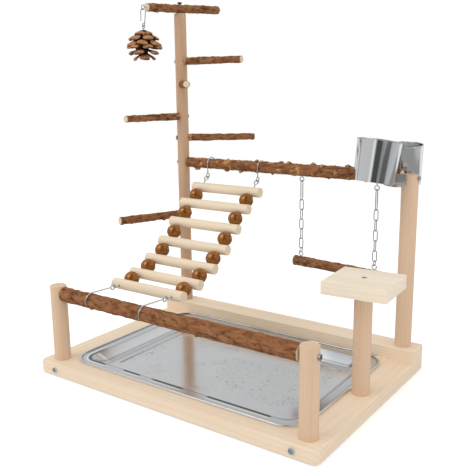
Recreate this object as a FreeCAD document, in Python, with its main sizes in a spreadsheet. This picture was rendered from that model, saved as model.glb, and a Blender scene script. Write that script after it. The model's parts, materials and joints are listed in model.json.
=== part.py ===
import FreeCAD
import Part
import Sketcher
import math
import os

# Table-top play stand for parrots: a pine frame with a steel tray, round posts, bark perches,
# a small platform, a rung-and-bead ladder, a chain swing, two steel cups and a hanging cone.
# Frame: millimetres, +X to the right along the front rail, +Y to the back, +Z up. The pieces are
# laid out from the middle of the base frame; at the end the origin goes to the floor under the
# middle of the whole stand's box.

SIZES = {
    # base frame
    "base_width": 493.0,
    "base_depth": 344.0,
    "board_thickness": 18.5,
    "front_rail_depth": 41.0,
    "side_board_width": 57.0,
    "back_rail_depth": 39.0,
    "back_rail_height": 20.5,
    "rail_corner_radius": 8.0,
    "board_edge_round": 1.6,
    "pad_diameter": 14.0,
    "pad_thickness": 2.0,
    "pad_side_inset": 43.0,
    "pad_end_inset": 12.0,
    # tray
    "tray_side_overlap": 16.5,
    "tray_front_overlap": 16.0,
    "tray_back_gap": 2.0,
    "tray_flange": 17.5,
    "tray_slope": 16.0,
    "tray_depth": 14.0,
    "tray_corner_radius": 36.0,
    "tray_sheet": 1.2,
    "tray_lip_width": 3.0,
    "tray_lip_height": 2.0,
    "tray_ledge": 15.0,
    "tray_step": 1.5,
    # posts
    "post_diameter": 25.0,
    "post_inset": 25.0,
    "front_post_inset": 24.5,
    "front_post_height": 120.0,
    "back_post_height": 267.5,
    "post_edge_round": 1.5,
    "mast_diameter": 21.0,
    "mast_inset": 35.0,
    "mast_height": 523.0,
    # platform
    "platform_post_height": 147.8,
    "platform_length": 90.5,
    "platform_depth": 84.0,
    "platform_thickness": 18.5,
    "platform_turn": 4.0,
    # long perches between the posts
    "front_perch_drop": 13.0,
    "front_perch_diameter": 23.0,
    "main_perch_drop": 5.0,
    "main_perch_left_diameter": 18.2,
    "main_perch_right_diameter": 21.4,
    "knob_radius": 4.6,
    # perches on the mast
    "top_perch_front": 82.0,
    "top_perch_back": 103.0,
    "top_perch_diameter": 16.4,
    "top_perch_lift": 0.6,
    "short_perch_length": 121.0,
    "short_perch_diameter": 13.6,
    "lower_perch_diameter": 14.6,
    "upper_right_height": 482.5,
    "upper_front_height": 442.0,
    "middle_front_height": 386.0,
    "middle_back_height": 347.5,
    "lower_front_height": 207.0,
    # fasteners
    "screw_diameter": 3.6,
    "screw_head_diameter": 7.8,
    "screw_head_height": 2.4,
    "screw_bite": 22.0,
    "rail_screw_inset": 34.5,
    "screw_clearance": 0.1,
    # ladder
    "rung_diameter": 16.4,
    "rung_length": 140.0,
    "bead_diameter": 24.0,
    "bead_gap": 0.3,
    "ladder_center": 94.5,
    "ladder_wire_spacing": 106.0,
    "ladder_wire_diameter": 1.8,
    "ladder_bore": 4.2,
    "bead_bore": 2.4,
    "ladder_first_reach": 48.8,
    "hook_wire_diameter": 2.0,
    "hook_drop": 20.0,
    "hook_clearance": 0.4,
    "loop_radius": 4.0,
    # swing
    "swing_left_x": 38.0,
    "swing_spacing": 131.5,
    "swing_lean": 4.0,
    "eye_radius": 3.7,
    "eye_stem": 10.0,
    "swing_wire_diameter": 1.6,
    "long_link_length": 33.0,
    "link_length": 18.1,
    "link_width": 6.4,
    "swing_ring_radius": 4.2,
    "swing_perch_overhang": 12.0,
    "swing_perch_left_diameter": 17.5,
    "swing_perch_right_diameter": 14.5,
    # hanging cone
    "cone_eye_reach": 3.6,
    "cone_hook_radius": 5.6,
    "cone_hook_drop": 26.0,
    "cone_hook_leg": 13.0,
    "clip_wire_diameter": 1.6,
    "cone_radius": 31.5,
    "cone_height": 48.0,
    # feeding cups
    "cup_diameter": 65.0,
    "cup_foot_diameter": 58.5,
    "cup_height": 60.0,
    "cup_wall": 1.0,
    "cup_lip": 2.0,
    "cup_inset": 20.8,
    "front_cup_drop": 2.8,
    "back_cup_drop": 17.0,
    "holder_thickness": 2.0,
    "holder_height": 16.0,
    "holder_length": 40.0,
    "holder_tongue_width": 24.0,
    "cup_hook_level": 47.0,
    "holder_clearance": 0.3,
    "bolt_diameter": 5.0,
    "bolt_head_diameter": 9.0,
    "bolt_head_height": 3.6,
    "cup_hook_width": 18.0,
    "cup_hook_thickness": 1.2,
    "cup_hook_leg": 12.0,
    "cup_hook_gap": 0.6,
    "cup_hook_pad": 7.0,
}

# Leans of the two cups about the bolt, seen from the front, their tilts in towards the post, and
# the bearings of the mast perches; the top perch also falls a little towards the front.
CUP_FRONT_LEAN = 3.5
CUP_BACK_LEAN = 0.0
CUP_FRONT_TILT = 10.6
CUP_BACK_TILT = 5.0
TOP_PERCH_BEARING = -93.0
TOP_PERCH_FALL = 2.9
PERCH_BEARINGS = {
    "perch_upper_right": 0.0,
    "perch_upper_front": -47.0,
    "perch_middle_front": -97.0,
    "perch_middle_back": 40.0,
    "perch_lower_front": -112.0,
}
# Turns of the ladder's spans away from the straight line between the two perches that carry it.
LADDER_FIRST_TURN = 22.8
LADDER_TURNS = (4.0, 13.0, 13.0, 4.0, -7.0, -19.0)

V = FreeCAD.Vector
Rotation = FreeCAD.Rotation
Z_AXIS = V(0, 0, 1)


class Size:
    """A length that knows its number and the formula that gives it."""

    def __init__(self, number, formula):
        self.number = float(number)
        self.formula = formula

    def __float__(self):
        return self.number

    @staticmethod
    def wrap(other):
        if isinstance(other, Size):
            return other
        return Size(other, "%.6f" % other)

    def combine(self, other, sign, number):
        return Size(number, "(%s %s %s)" % (self.formula, sign, other.formula))

    def __add__(self, other):
        other = Size.wrap(other)
        return self.combine(other, "+", self.number + other.number)

    def __sub__(self, other):
        other = Size.wrap(other)
        return self.combine(other, "-", self.number - other.number)

    def __mul__(self, other):
        other = Size.wrap(other)
        return self.combine(other, "*", self.number * other.number)

    def __truediv__(self, other):
        other = Size.wrap(other)
        return self.combine(other, "/", self.number / other.number)

    def __radd__(self, other):
        return Size.wrap(other) + self

    def __rsub__(self, other):
        return Size.wrap(other) - self

    def __rmul__(self, other):
        return Size.wrap(other) * self

    def __neg__(self):
        return self * -1.0


class Sizes:
    """The driving sizes, by name."""


doc = FreeCAD.newDocument("parrot_play_stand")
sheet = doc.addObject("Spreadsheet::Sheet", "Sizes")
s = Sizes()
for row, (name, value) in enumerate(SIZES.items(), start=1):
    sheet.set("A%d" % row, name)
    sheet.set("B%d" % row, "%g" % value)
    sheet.setAlias("B%d" % row, name)
    setattr(s, name, Size(value, "Sizes." + name))
doc.recompute()

NODES = []


def keep(obj, label):
    """Give a finished piece its label and put it on the list of pieces."""
    obj.Label = label
    NODES.append(obj)
    return obj


def bind(obj, **sizes):
    """Tie properties of an object to sizes."""
    for name, size in sizes.items():
        setattr(obj, name, float(size))
        if isinstance(size, Size):
            obj.setExpression(name, size.formula)


def place(obj, x, y, z, rotation=None):
    """Put an object at a place that follows its sizes."""
    obj.Placement = FreeCAD.Placement(V(float(x), float(y), float(z)), rotation or Rotation())
    for axis, size in (("x", x), ("y", y), ("z", z)):
        if isinstance(size, Size):
            obj.setExpression("Placement.Base." + axis, size.formula)


def towards(direction):
    """The rotation that turns +Z to a direction."""
    return Rotation(Z_AXIS, V(*direction))


def laid(direction):
    """The rotation that lays +Z along a level direction and turns +X down."""
    return Rotation(V(0, 0, -1), V(0, 0, 0), V(*direction), "ZXY")


def bearing_vector(bearing, rise=0.0):
    """A unit vector at a bearing from +X, with a rise in degrees."""
    flat = math.cos(math.radians(rise))
    angle = math.radians(bearing)
    return V(flat * math.cos(angle), flat * math.sin(angle), math.sin(math.radians(rise)))


# ---------------------------------------------------------------- bodies made from sketches

def new_body(label):
    body = doc.addObject("PartDesign::Body", label)
    return keep(body, label)


def sketch_on(body, role, name, offset=None):
    """A sketch on one of the body's own origin planes, raised by an offset along its normal."""
    sketch = body.newObject("Sketcher::SketchObject", name)
    plane = next(f for f in body.Origin.OriginFeatures if f.Role == role)
    sketch.AttachmentSupport = [(plane, "")]
    sketch.MapMode = "FlatFace"
    if offset is not None:
        sketch.AttachmentOffset = FreeCAD.Placement(V(0, 0, float(offset)), Rotation())
        if isinstance(offset, Size):
            sketch.setExpression("AttachmentOffset.Base.z", offset.formula)
    return sketch


def constrain(sketch, kind, *arguments):
    """Add a constraint; a size as the last argument drives it."""
    size = arguments[-1]
    if isinstance(size, Size):
        index = sketch.addConstraint(Sketcher.Constraint(kind, *arguments[:-1], float(size)))
        sketch.setExpression("Constraints[%d]" % index, size.formula)
    else:
        sketch.addConstraint(Sketcher.Constraint(kind, *arguments))


def draw_rectangle(sketch, width, depth):
    """A rectangle about the sketch's origin."""
    w = float(width) / 2
    d = float(depth) / 2
    corners = [V(-w, -d, 0), V(w, -d, 0), V(w, d, 0), V(-w, d, 0)]
    for i in range(4):
        sketch.addGeometry(Part.LineSegment(corners[i], corners[(i + 1) % 4]), False)
    for i in range(4):
        constrain(sketch, "Coincident", i, 2, (i + 1) % 4, 1)
        constrain(sketch, "Horizontal" if i % 2 == 0 else "Vertical", i)
    constrain(sketch, "Symmetric", 0, 1, 1, 2, -1, 1)
    constrain(sketch, "DistanceX", 0, 1, 0, 2, Size.wrap(width))
    constrain(sketch, "DistanceY", 1, 1, 1, 2, Size.wrap(depth))


def draw_rounded_rectangle(sketch, width, depth, radius):
    """A rectangle with round corners about the sketch's origin."""
    first = sketch.GeometryCount
    w = float(width) / 2
    d = float(depth) / 2
    r = float(radius)
    sides = [
        (V(r - w, -d, 0), V(w - r, -d, 0)),
        (V(w, r - d, 0), V(w, d - r, 0)),
        (V(w - r, d, 0), V(r - w, d, 0)),
        (V(-w, d - r, 0), V(-w, r - d, 0)),
    ]
    centres = [V(w - r, r - d, 0), V(w - r, d - r, 0), V(r - w, d - r, 0), V(r - w, r - d, 0)]
    for start, end in sides:
        sketch.addGeometry(Part.LineSegment(start, end), False)
    for i, centre in enumerate(centres):
        start = math.radians(90 * i - 90)
        circle = Part.Circle(centre, Z_AXIS, r)
        sketch.addGeometry(Part.ArcOfCircle(circle, start, start + math.pi / 2), False)
    for i in range(4):
        line = first + i
        arc = first + 4 + i
        constrain(sketch, "Tangent", line, 2, arc, 1)
        constrain(sketch, "Tangent", arc, 2, first + (i + 1) % 4, 1)
        constrain(sketch, "Horizontal" if i % 2 == 0 else "Vertical", line)
        if i > 0:
            constrain(sketch, "Equal", first + 4, arc)
    constrain(sketch, "Symmetric", first + 4, 3, first + 6, 3, -1, 1)
    constrain(sketch, "Radius", first + 4, Size.wrap(radius))
    constrain(sketch, "DistanceX", first + 3, 1, first + 1, 1, Size.wrap(width))
    constrain(sketch, "DistanceY", first, 1, first + 2, 1, Size.wrap(depth))


def add_pad(body, name, sketch, length, reversed_way=False):
    pad = body.newObject("PartDesign::Pad", name)
    pad.Profile = sketch
    pad.Reversed = reversed_way
    bind(pad, Length=length)
    return pad


def add_fillet(body, name, feature, test, radius):
    """Round the edges of a feature that pass a test."""
    doc.recompute()
    edges = ["Edge%d" % (i + 1) for i, edge in enumerate(feature.Shape.Edges) if test(edge)]
    fillet = body.newObject("PartDesign::Fillet", name)
    fillet.Base = (feature, edges)
    bind(fillet, Radius=radius)
    return fillet


def bore(body, name, radius, depth, x, y, z, direction=(0, 0, 1)):
    """A round hole from a point along a direction, in the body's own frame."""
    hole = body.newObject("PartDesign::SubtractiveCylinder", name)
    bind(hole, Radius=radius, Height=depth)
    place(hole, x, y, z, towards(direction))
    return hole


def upright(edge):
    return abs(edge.BoundBox.ZLength - edge.Length) < 1e-6


def level_at(edge, z):
    box = edge.BoundBox
    return abs(box.ZMin - float(z)) < 1e-4 and abs(box.ZMax - float(z)) < 1e-4


def board(label, width, depth, height, x, y, z, holes=()):
    """A rounded pine board with upright screw holes, its frame at the middle of its underside."""
    body = new_body(label)
    sketch = sketch_on(body, "XY_Plane", label + "_outline")
    draw_rectangle(sketch, width, depth)
    pad = add_pad(body, label + "_pad", sketch, height)
    top = height
    add_fillet(body, label + "_round", pad, lambda e: level_at(e, top), s.board_edge_round)
    for i, (hx, hy) in enumerate(holes):
        bore(body, "%s_hole_%d" % (label, i), shank_bore, height, hx, hy, 0)
        bore(body, "%s_sink_%d" % (label, i), head_bore, s.screw_head_height, hx, hy, 0)
    place(body, x, y, z)
    return body


def round_post(label, diameter, height, x, y, z, side_bores=(), foot_bore=True):
    """A round post with a softened top edge, its frame at the middle of its foot."""
    body = new_body(label)
    core = body.newObject("PartDesign::AdditiveCylinder", label + "_core")
    bind(core, Radius=diameter / 2, Height=height)
    add_fillet(body, label + "_round", core, lambda e: level_at(e, height), s.post_edge_round)
    if foot_bore:
        bore(body, label + "_foot_bore", shank_bore, s.screw_bite + s.screw_clearance, 0, 0, 0)
    for i, (level, direction) in enumerate(side_bores):
        start = V(*direction) * -float(diameter)
        bore(body, "%s_side_bore_%d" % (label, i), shank_bore, diameter * 2,
             start.x, start.y, level, direction)
    place(body, x, y, z)
    return body


# ---------------------------------------------------------------- places that follow the sizes

half_width = s.base_width / 2
half_depth = s.base_depth / 2
board_top = s.pad_thickness + s.board_thickness
back_rail_top = board_top + s.back_rail_height
post_x = half_width - s.post_inset
mast_x = s.mast_inset - half_width
front_post_y = s.front_post_inset - half_depth
back_post_y = half_depth - s.back_rail_depth / 2
post_radius = s.post_diameter / 2
mast_radius = s.mast_diameter / 2
mast_top = back_rail_top + s.mast_height
platform_post_y = Size.wrap(0.0)
platform_bottom = board_top + s.platform_post_height
front_perch_z = board_top + s.front_post_height - s.front_perch_drop
main_perch_z = back_rail_top + s.back_post_height - s.main_perch_drop
shank_bore = s.screw_diameter / 2 + s.screw_clearance
head_bore = s.screw_head_diameter / 2 + s.screw_clearance
side_board_x = half_width - s.side_board_width / 2
rail_screw_x = half_width - s.rail_screw_inset
side_board_depth = s.base_depth - s.front_rail_depth
side_board_y = s.front_rail_depth / 2
mast_to_post = post_x - post_radius - mast_x - mast_radius

# ---------------------------------------------------------------- base frame

front_rail = new_body("front_rail")
outline = sketch_on(front_rail, "XY_Plane", "front_rail_outline")
draw_rectangle(outline, s.base_width, s.front_rail_depth)
rail_pad = add_pad(front_rail, "front_rail_pad", outline, s.board_thickness)
rail_front = -s.front_rail_depth / 2
corner = add_fillet(
    front_rail, "front_rail_corners", rail_pad,
    lambda e: upright(e) and e.BoundBox.YMax < 0, s.rail_corner_radius,
)
add_fillet(
    front_rail, "front_rail_round", corner,
    lambda e: level_at(e, s.board_thickness) and e.BoundBox.YMin < float(s.front_rail_depth) / 2 - 1,
    s.board_edge_round,
)
for side, sign in (("left", -1.0), ("right", 1.0)):
    bore(front_rail, "front_rail_joint_" + side, shank_bore, s.front_rail_depth,
         rail_screw_x * sign, rail_front, s.board_thickness / 2, (0, 1, 0))
    post_hole_y = front_post_y + half_depth - s.front_rail_depth / 2
    bore(front_rail, "front_rail_post_" + side, shank_bore, s.board_thickness,
         post_x * sign, post_hole_y, 0)
    bore(front_rail, "front_rail_sink_" + side, head_bore, s.screw_head_height,
         post_x * sign, post_hole_y, 0)
place(front_rail, 0, s.front_rail_depth / 2 - half_depth, s.pad_thickness)

for label, sign in (("left_board", -1.0), ("right_board", 1.0)):
    back_x = mast_x if sign < 0 else post_x
    holes = [(back_x - side_board_x * sign, back_post_y - side_board_y)]
    if sign > 0:
        holes.append((post_x - side_board_x, platform_post_y - side_board_y))
    side_board = board(label, s.side_board_width, side_board_depth, s.board_thickness,
                       side_board_x * sign, side_board_y, s.pad_thickness, holes)
    bore(side_board, label + "_joint", shank_bore, s.screw_bite + s.screw_clearance,
         (rail_screw_x - side_board_x) * sign, -side_board_depth / 2, s.board_thickness / 2, (0, 1, 0))

back_rail = board("back_rail", s.base_width, s.back_rail_depth, s.back_rail_height,
                  0, back_post_y, board_top)
for name, x in (("mast", mast_x), ("post", post_x)):
    bore(back_rail, "back_rail_hole_" + name, shank_bore, s.back_rail_height, x, 0, 0)


def group(label, pieces):
    """Separate solids that share one node."""
    compound = doc.addObject("Part::Compound", label)
    compound.Links = pieces
    return keep(compound, label)


pads = []
for i, (sx, sy) in enumerate(((-1.0, -1.0), (1.0, -1.0), (1.0, 1.0), (-1.0, 1.0))):
    pad = doc.addObject("Part::Cylinder", "pad_%d" % i)
    bind(pad, Radius=s.pad_diameter / 2, Height=s.pad_thickness)
    place(pad, (half_width - s.pad_side_inset) * sx, (half_depth - s.pad_end_inset) * sy, 0)
    pads.append(pad)
group("foot_pads", pads)

# ---------------------------------------------------------------- tray

tray_front = s.front_rail_depth - s.tray_front_overlap - half_depth
tray_back = half_depth - s.back_rail_depth - s.tray_back_gap
tray_width = s.base_width - (s.side_board_width - s.tray_side_overlap) * 2.0
tray_span = tray_back - tray_front
bowl_inset = s.tray_flange * 2.0
foot_inset = bowl_inset + s.tray_slope * 2.0
step_inset = foot_inset + s.tray_ledge * 2.0
sheet2 = s.tray_sheet * 2.0


def tray_outline(name, inset, level, thinner=None):
    """A round-cornered outline set in from the tray's edge, at a level from the rim's underside."""
    sketch = sketch_on(tray, "XY_Plane", name, level)
    inset = inset + thinner if thinner is not None else inset
    radius = s.tray_corner_radius - inset / 2.0 * TRAY_CORNER_SHARE
    draw_rounded_rectangle(sketch, tray_width - inset, tray_span - inset, radius)
    return sketch


TRAY_CORNER_SHARE = 0.5
tray = new_body("tray")
add_pad(tray, "tray_rim", tray_outline("tray_edge", Size.wrap(0.0), Size.wrap(0.0)), s.tray_sheet)
bowl = tray.newObject("PartDesign::AdditiveLoft", "tray_bowl")
bowl.Profile = tray_outline("tray_mouth", bowl_inset, Size.wrap(0.0))
bowl.Sections = [tray_outline("tray_foot", foot_inset, -s.tray_depth)]
well = add_pad(tray, "tray_well", tray_outline("tray_well_edge", step_inset, -s.tray_depth - s.tray_step),
               s.tray_step + s.tray_sheet)
doc.recompute()
full_volume = tray.Shape.Volume
inside = tray.newObject("PartDesign::SubtractiveLoft", "tray_inside")
inside.Profile = tray_outline("tray_mouth_in", bowl_inset, s.tray_sheet, sheet2)
inside.Sections = [tray_outline("tray_foot_in", foot_inset, s.tray_sheet - s.tray_depth, sheet2)]
floor = tray.newObject("PartDesign::Pocket", "tray_floor")
floor.Profile = tray_outline("tray_floor_edge", step_inset, s.tray_sheet - s.tray_depth, sheet2)
floor.Reversed = False
bind(floor, Length=s.tray_step)
lip_sketch = sketch_on(tray, "XY_Plane", "tray_lip_edge", s.tray_sheet)
draw_rounded_rectangle(lip_sketch, tray_width, tray_span, s.tray_corner_radius)
lip2 = s.tray_lip_width * 2.0
draw_rounded_rectangle(lip_sketch, tray_width - lip2, tray_span - lip2,
                       s.tray_corner_radius - s.tray_lip_width)
lip = add_pad(tray, "tray_lip", lip_sketch, s.tray_lip_height)
lip_top = s.tray_sheet + s.tray_lip_height
add_fillet(tray, "tray_lip_round", lip, lambda e: level_at(e, lip_top), s.tray_lip_width * 0.4)
place(tray, 0, (tray_front + tray_back) / 2.0, board_top)
doc.recompute()
if tray.Shape.Volume > full_volume * 0.5:
    raise RuntimeError("the tray is not hollow")

# ---------------------------------------------------------------- posts and platform

main_bore_level = main_perch_z - back_rail_top
front_bore_level = front_perch_z - board_top
for label, sign in (("post_front_left", -1.0), ("post_front_right", 1.0)):
    round_post(label, s.post_diameter, s.front_post_height, post_x * sign, front_post_y, board_top,
               [(front_bore_level, (sign, 0, 0))])
round_post("post_back_right", s.post_diameter, s.back_post_height, post_x, back_post_y,
           back_rail_top, [(main_bore_level, (1, 0, 0))])
platform_post = round_post("platform_post", s.post_diameter, s.platform_post_height,
                           post_x, platform_post_y, board_top)
bore(platform_post, "platform_post_top_bore", shank_bore, s.screw_bite, 0, 0,
     s.platform_post_height - s.screw_bite)
perch_heights = {
    "perch_upper_right": s.upper_right_height,
    "perch_upper_front": s.upper_front_height,
    "perch_middle_front": s.middle_front_height,
    "perch_middle_back": s.middle_back_height,
    "perch_lower_front": s.lower_front_height,
}
mast_bores = [(main_bore_level, (1, 0, 0))]
for label, height in perch_heights.items():
    mast_bores.append((height - back_rail_top, tuple(bearing_vector(PERCH_BEARINGS[label]))))
mast = round_post("mast", s.mast_diameter, s.mast_height, mast_x, back_post_y, back_rail_top,
                  mast_bores)
bore(mast, "mast_top_bore", shank_bore, s.screw_bite, 0, 0, s.mast_height - s.screw_bite)

platform = new_body("platform")
outline = sketch_on(platform, "XY_Plane", "platform_outline")
draw_rectangle(outline, s.platform_length, s.platform_depth)
platform_pad = add_pad(platform, "platform_pad", outline, s.platform_thickness)
add_fillet(platform, "platform_round", platform_pad,
           lambda e: upright(e) or level_at(e, s.platform_thickness), s.board_edge_round)
bore(platform, "platform_hole", shank_bore, s.platform_thickness, 0, 0, 0)
bore(platform, "platform_sink", head_bore, s.screw_head_height, 0, 0,
     s.platform_thickness - s.screw_head_height)
place(platform, post_x, platform_post_y, platform_bottom, Rotation(Z_AXIS, float(s.platform_turn)))

# ---------------------------------------------------------------- bark perches

GOLDEN_TURN = 137.5


def branch(label, length, start_radius, end_radius, knobs, knob_radius, bores, clear=(), seed=0,
           sunk_share=0.45):
    """A tapered branch along its own +Z with round knobs, kept clear of its fittings."""
    core = doc.addObject("Part::Cone", label + "_core")
    bind(core, Radius1=start_radius, Radius2=end_radius, Height=length)
    pieces = [core]
    for i in range(knobs):
        share = (i + 0.5 + 0.35 * math.sin(3.1 * i + seed)) / knobs
        along = length * share
        size = 0.72 + 0.28 * math.sin(2.3 * i + 1.7 * seed)
        reach = float(knob_radius) * size + 1.5
        ends = (float(along) < reach + 2.0, float(length) - float(along) < reach + 2.0)
        if any(ends) or any(abs(float(along) - float(c)) < reach + 1.5 for c in clear):
            continue
        angle = math.radians(GOLDEN_TURN * i + 40.0 * seed)
        skin = start_radius * (1.0 - share) + end_radius * share
        out = skin - knob_radius * (size * sunk_share)
        knob = doc.addObject("Part::Sphere", "%s_knob_%d" % (label, i))
        bind(knob, Radius=knob_radius * size)
        place(knob, out * math.cos(angle), out * math.sin(angle), along)
        pieces.append(knob)
    body = doc.addObject("Part::MultiFuse", label + "_wood")
    body.Shapes = pieces
    for i, (radius, depth, x, y, z, direction) in enumerate(bores):
        drill = doc.addObject("Part::Cylinder", "%s_drill_%d" % (label, i))
        bind(drill, Radius=radius, Height=depth)
        place(drill, x, y, z, towards(direction))
        cut = doc.addObject("Part::Cut", "%s_cut_%d" % (label, i))
        cut.Base = body
        cut.Tool = drill
        body = cut
    return keep(body, label)


end_bore = s.screw_bite + s.screw_clearance
front_perch_length = (post_x - post_radius) * 2.0
front_perch_radius = s.front_perch_diameter / 2
drop_left = half_width - s.ladder_center - s.ladder_wire_spacing / 2 - s.post_inset - post_radius
drop_right = drop_left + s.ladder_wire_spacing
front_bores = [
    (shank_bore, end_bore, 0, 0, 0, (0, 0, 1)),
    (shank_bore, end_bore, 0, 0, front_perch_length, (0, 0, -1)),
]
front_perch = branch("front_perch", front_perch_length, front_perch_radius, front_perch_radius,
                     17, s.knob_radius, front_bores, (drop_left, drop_right), seed=1)
place(front_perch, -(post_x - post_radius), front_post_y, front_perch_z, laid((1, 0, 0)))

# The main perch runs from the mast to the back post; its own +Z is the stand's +X there,
# and the branch frame's +X points down.
main_start = mast_x + mast_radius
main_length = mast_to_post
main_r0 = s.main_perch_left_diameter / 2
main_r1 = s.main_perch_right_diameter / 2
bolt_x = post_x - post_radius - s.cup_inset
swing_right_x = s.swing_left_x + s.swing_spacing
hook_left_x = -s.ladder_center - s.ladder_wire_spacing / 2
hook_right_x = hook_left_x + s.ladder_wire_spacing


def main_perch_radius(x):
    """The main perch's radius at a place along the stand's X."""
    return main_r0 + (main_r1 - main_r0) * ((x - main_start) / main_length)


eye_bore = s.swing_wire_diameter / 2 + s.screw_clearance
main_bores = [
    (shank_bore, end_bore, 0, 0, 0, (0, 0, 1)),
    (shank_bore, s.screw_bite / 2, 0, 0, main_length, (0, 0, -1)),
    (s.bolt_diameter / 2 + s.screw_clearance, main_r1 * 3, 0, -main_r1 * 1.5, bolt_x - main_start,
     (0, 1, 0)),
]
for x in (s.swing_left_x, swing_right_x):
    radius = main_perch_radius(x)
    main_bores.append((eye_bore, s.eye_stem + 0.2, radius - s.eye_stem, 0, x - main_start, (1, 0, 0)))
fittings = [x - main_start for x in (s.swing_left_x, swing_right_x, hook_left_x, hook_right_x)]
fittings += [bolt_x - main_start + s.holder_tongue_width * share for share in (-0.5, -0.25, 0, 0.25, 0.5)]
main_perch = branch("main_perch", main_length, main_r0, main_r1, 52, s.knob_radius * 1.22, main_bores,
                    fittings, seed=2, sunk_share=0.22)
place(main_perch, main_start, back_post_y, main_perch_z, laid((1, 0, 0)))

top_radius = s.top_perch_diameter / 2
top_length = s.top_perch_front + s.top_perch_back
top_dir = bearing_vector(TOP_PERCH_BEARING)
top_fall = math.radians(TOP_PERCH_FALL)
top_axis = V(top_dir.x * math.cos(top_fall), top_dir.y * math.cos(top_fall), -math.sin(top_fall))
top_down = laid(top_axis).inverted().multVec(V(0, 0, -1))
top_bores = [
    (shank_bore, s.top_perch_diameter * 2, s.top_perch_diameter * -top_down.x,
     s.top_perch_diameter * -top_down.y, s.top_perch_back - s.top_perch_diameter * top_down.z,
     tuple(top_down)),
    (eye_bore, s.eye_stem + 0.2, 0, 0, top_length, (0, 0, -1)),
]
top_perch = branch("top_perch", top_length, top_radius * 0.92, top_radius * 0.86, 15, s.knob_radius * 0.8,
                   top_bores, (s.top_perch_back, s.top_perch_back + 6.0, s.top_perch_back - 6.0), seed=3)
top_perch_z = mast_top + top_radius * 0.89 + s.top_perch_lift
place(top_perch, mast_x - s.top_perch_back * top_axis.x, back_post_y - s.top_perch_back * top_axis.y,
      top_perch_z - s.top_perch_back * top_axis.z, laid(top_axis))

short_radius = s.short_perch_diameter / 2
lower_radius = s.lower_perch_diameter / 2
for i, (label, height) in enumerate(perch_heights.items()):
    low = label == "perch_lower_front"
    radius = lower_radius if low else short_radius
    direction = bearing_vector(PERCH_BEARINGS[label])
    bores = [(shank_bore, end_bore, 0, 0, 0, (0, 0, 1))]
    perch = branch(label, s.short_perch_length, radius, radius * (1.0 if low else 0.86),
                   11 if low else 7, s.knob_radius * (0.7 if low else 0.5), bores, (), seed=i + 4)
    place(perch, mast_x + mast_radius * direction.x, back_post_y + mast_radius * direction.y,
          height, laid(direction))

# ---------------------------------------------------------------- screws


def screw(name, shank, x, y, z, direction):
    """A pan-head screw: the head stands on the surface at the point, the shank runs inwards."""
    shaft = doc.addObject("Part::Cylinder", name + "_shaft")
    bind(shaft, Radius=s.screw_diameter / 2, Height=shank)
    head = doc.addObject("Part::Cylinder", name + "_head")
    bind(head, Radius=s.screw_head_diameter / 2, Height=s.screw_head_height)
    place(head, 0, 0, -s.screw_head_height)
    slot = doc.addObject("Part::Box", name + "_slot")
    bind(slot, Length=s.screw_head_diameter * 0.6, Width=s.screw_diameter * 0.3,
         Height=s.screw_head_height * 0.5)
    place(slot, s.screw_head_diameter * -0.3, s.screw_diameter * -0.15, -s.screw_head_height)
    cross = doc.addObject("Part::Box", name + "_cross")
    bind(cross, Length=s.screw_diameter * 0.3, Width=s.screw_head_diameter * 0.6,
         Height=s.screw_head_height * 0.5)
    place(cross, s.screw_diameter * -0.15, s.screw_head_diameter * -0.3, -s.screw_head_height)
    body = doc.addObject("Part::MultiFuse", name + "_body")
    body.Shapes = [shaft, head]
    slots = doc.addObject("Part::MultiFuse", name + "_slots")
    slots.Shapes = [slot, cross]
    cut = doc.addObject("Part::Cut", name)
    cut.Base = body
    cut.Tool = slots
    place(cut, x, y, z, towards(direction))
    return cut


bite = s.screw_bite - 0.5
group("rail_screws", [
    screw("rail_screw_%s" % side, s.front_rail_depth + bite, rail_screw_x * sign, -half_depth,
          s.pad_thickness + s.board_thickness / 2, (0, 1, 0))
    for side, sign in (("left", -1.0), ("right", 1.0))
])
sunk = s.pad_thickness + s.screw_head_height
one_board = s.board_thickness - s.screw_head_height + bite
group("floor_screws", [
    screw("floor_screw_front_left", one_board, -post_x, front_post_y, sunk, (0, 0, 1)),
    screw("floor_screw_front_right", one_board, post_x, front_post_y, sunk, (0, 0, 1)),
    screw("floor_screw_platform", one_board, post_x, platform_post_y, sunk, (0, 0, 1)),
    screw("floor_screw_post", one_board + s.back_rail_height, post_x, back_post_y, sunk, (0, 0, 1)),
    screw("floor_screw_mast", one_board + s.back_rail_height, mast_x, back_post_y, sunk, (0, 0, 1)),
])
keep(screw("platform_screw_body", s.platform_thickness - s.screw_head_height + bite, post_x,
           platform_post_y, platform_bottom + s.platform_thickness - s.screw_head_height, (0, 0, -1)),
     "platform_screw")
keep(screw("top_screw_body", s.top_perch_diameter + bite, mast_x, back_post_y,
           top_perch_z + top_radius, (0, 0, -1)), "top_perch_screw")
mast_list = [
    screw("mast_screw_main", s.mast_diameter + bite, mast_x - mast_radius, back_post_y, main_perch_z,
          (1, 0, 0)),
]
for label, height in perch_heights.items():
    direction = bearing_vector(PERCH_BEARINGS[label])
    mast_list.append(screw("mast_screw_" + label, s.mast_diameter + bite,
                           mast_x - mast_radius * direction.x, back_post_y - mast_radius * direction.y,
                           height, tuple(direction)))
group("mast_screws", mast_list)
group("post_screws", [
    screw("post_screw_left", s.post_diameter + bite, -(post_x + post_radius), front_post_y,
          front_perch_z, (1, 0, 0)),
    screw("post_screw_right", s.post_diameter + bite, post_x + post_radius, front_post_y,
          front_perch_z, (-1, 0, 0)),
    screw("post_screw_back", s.post_diameter + s.screw_bite / 2 - 0.5, post_x + post_radius,
          back_post_y, main_perch_z, (-1, 0, 0)),
])

# ---------------------------------------------------------------- bent wire


def feature(label, shape):
    """A piece whose shape is made from wires and rings."""
    obj = doc.addObject("Part::Feature", label)
    obj.Shape = shape
    return keep(obj, label)


def rod(start, end, radius):
    """A straight piece of wire."""
    return Part.makeCylinder(radius, (end - start).Length, start, end - start)


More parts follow.
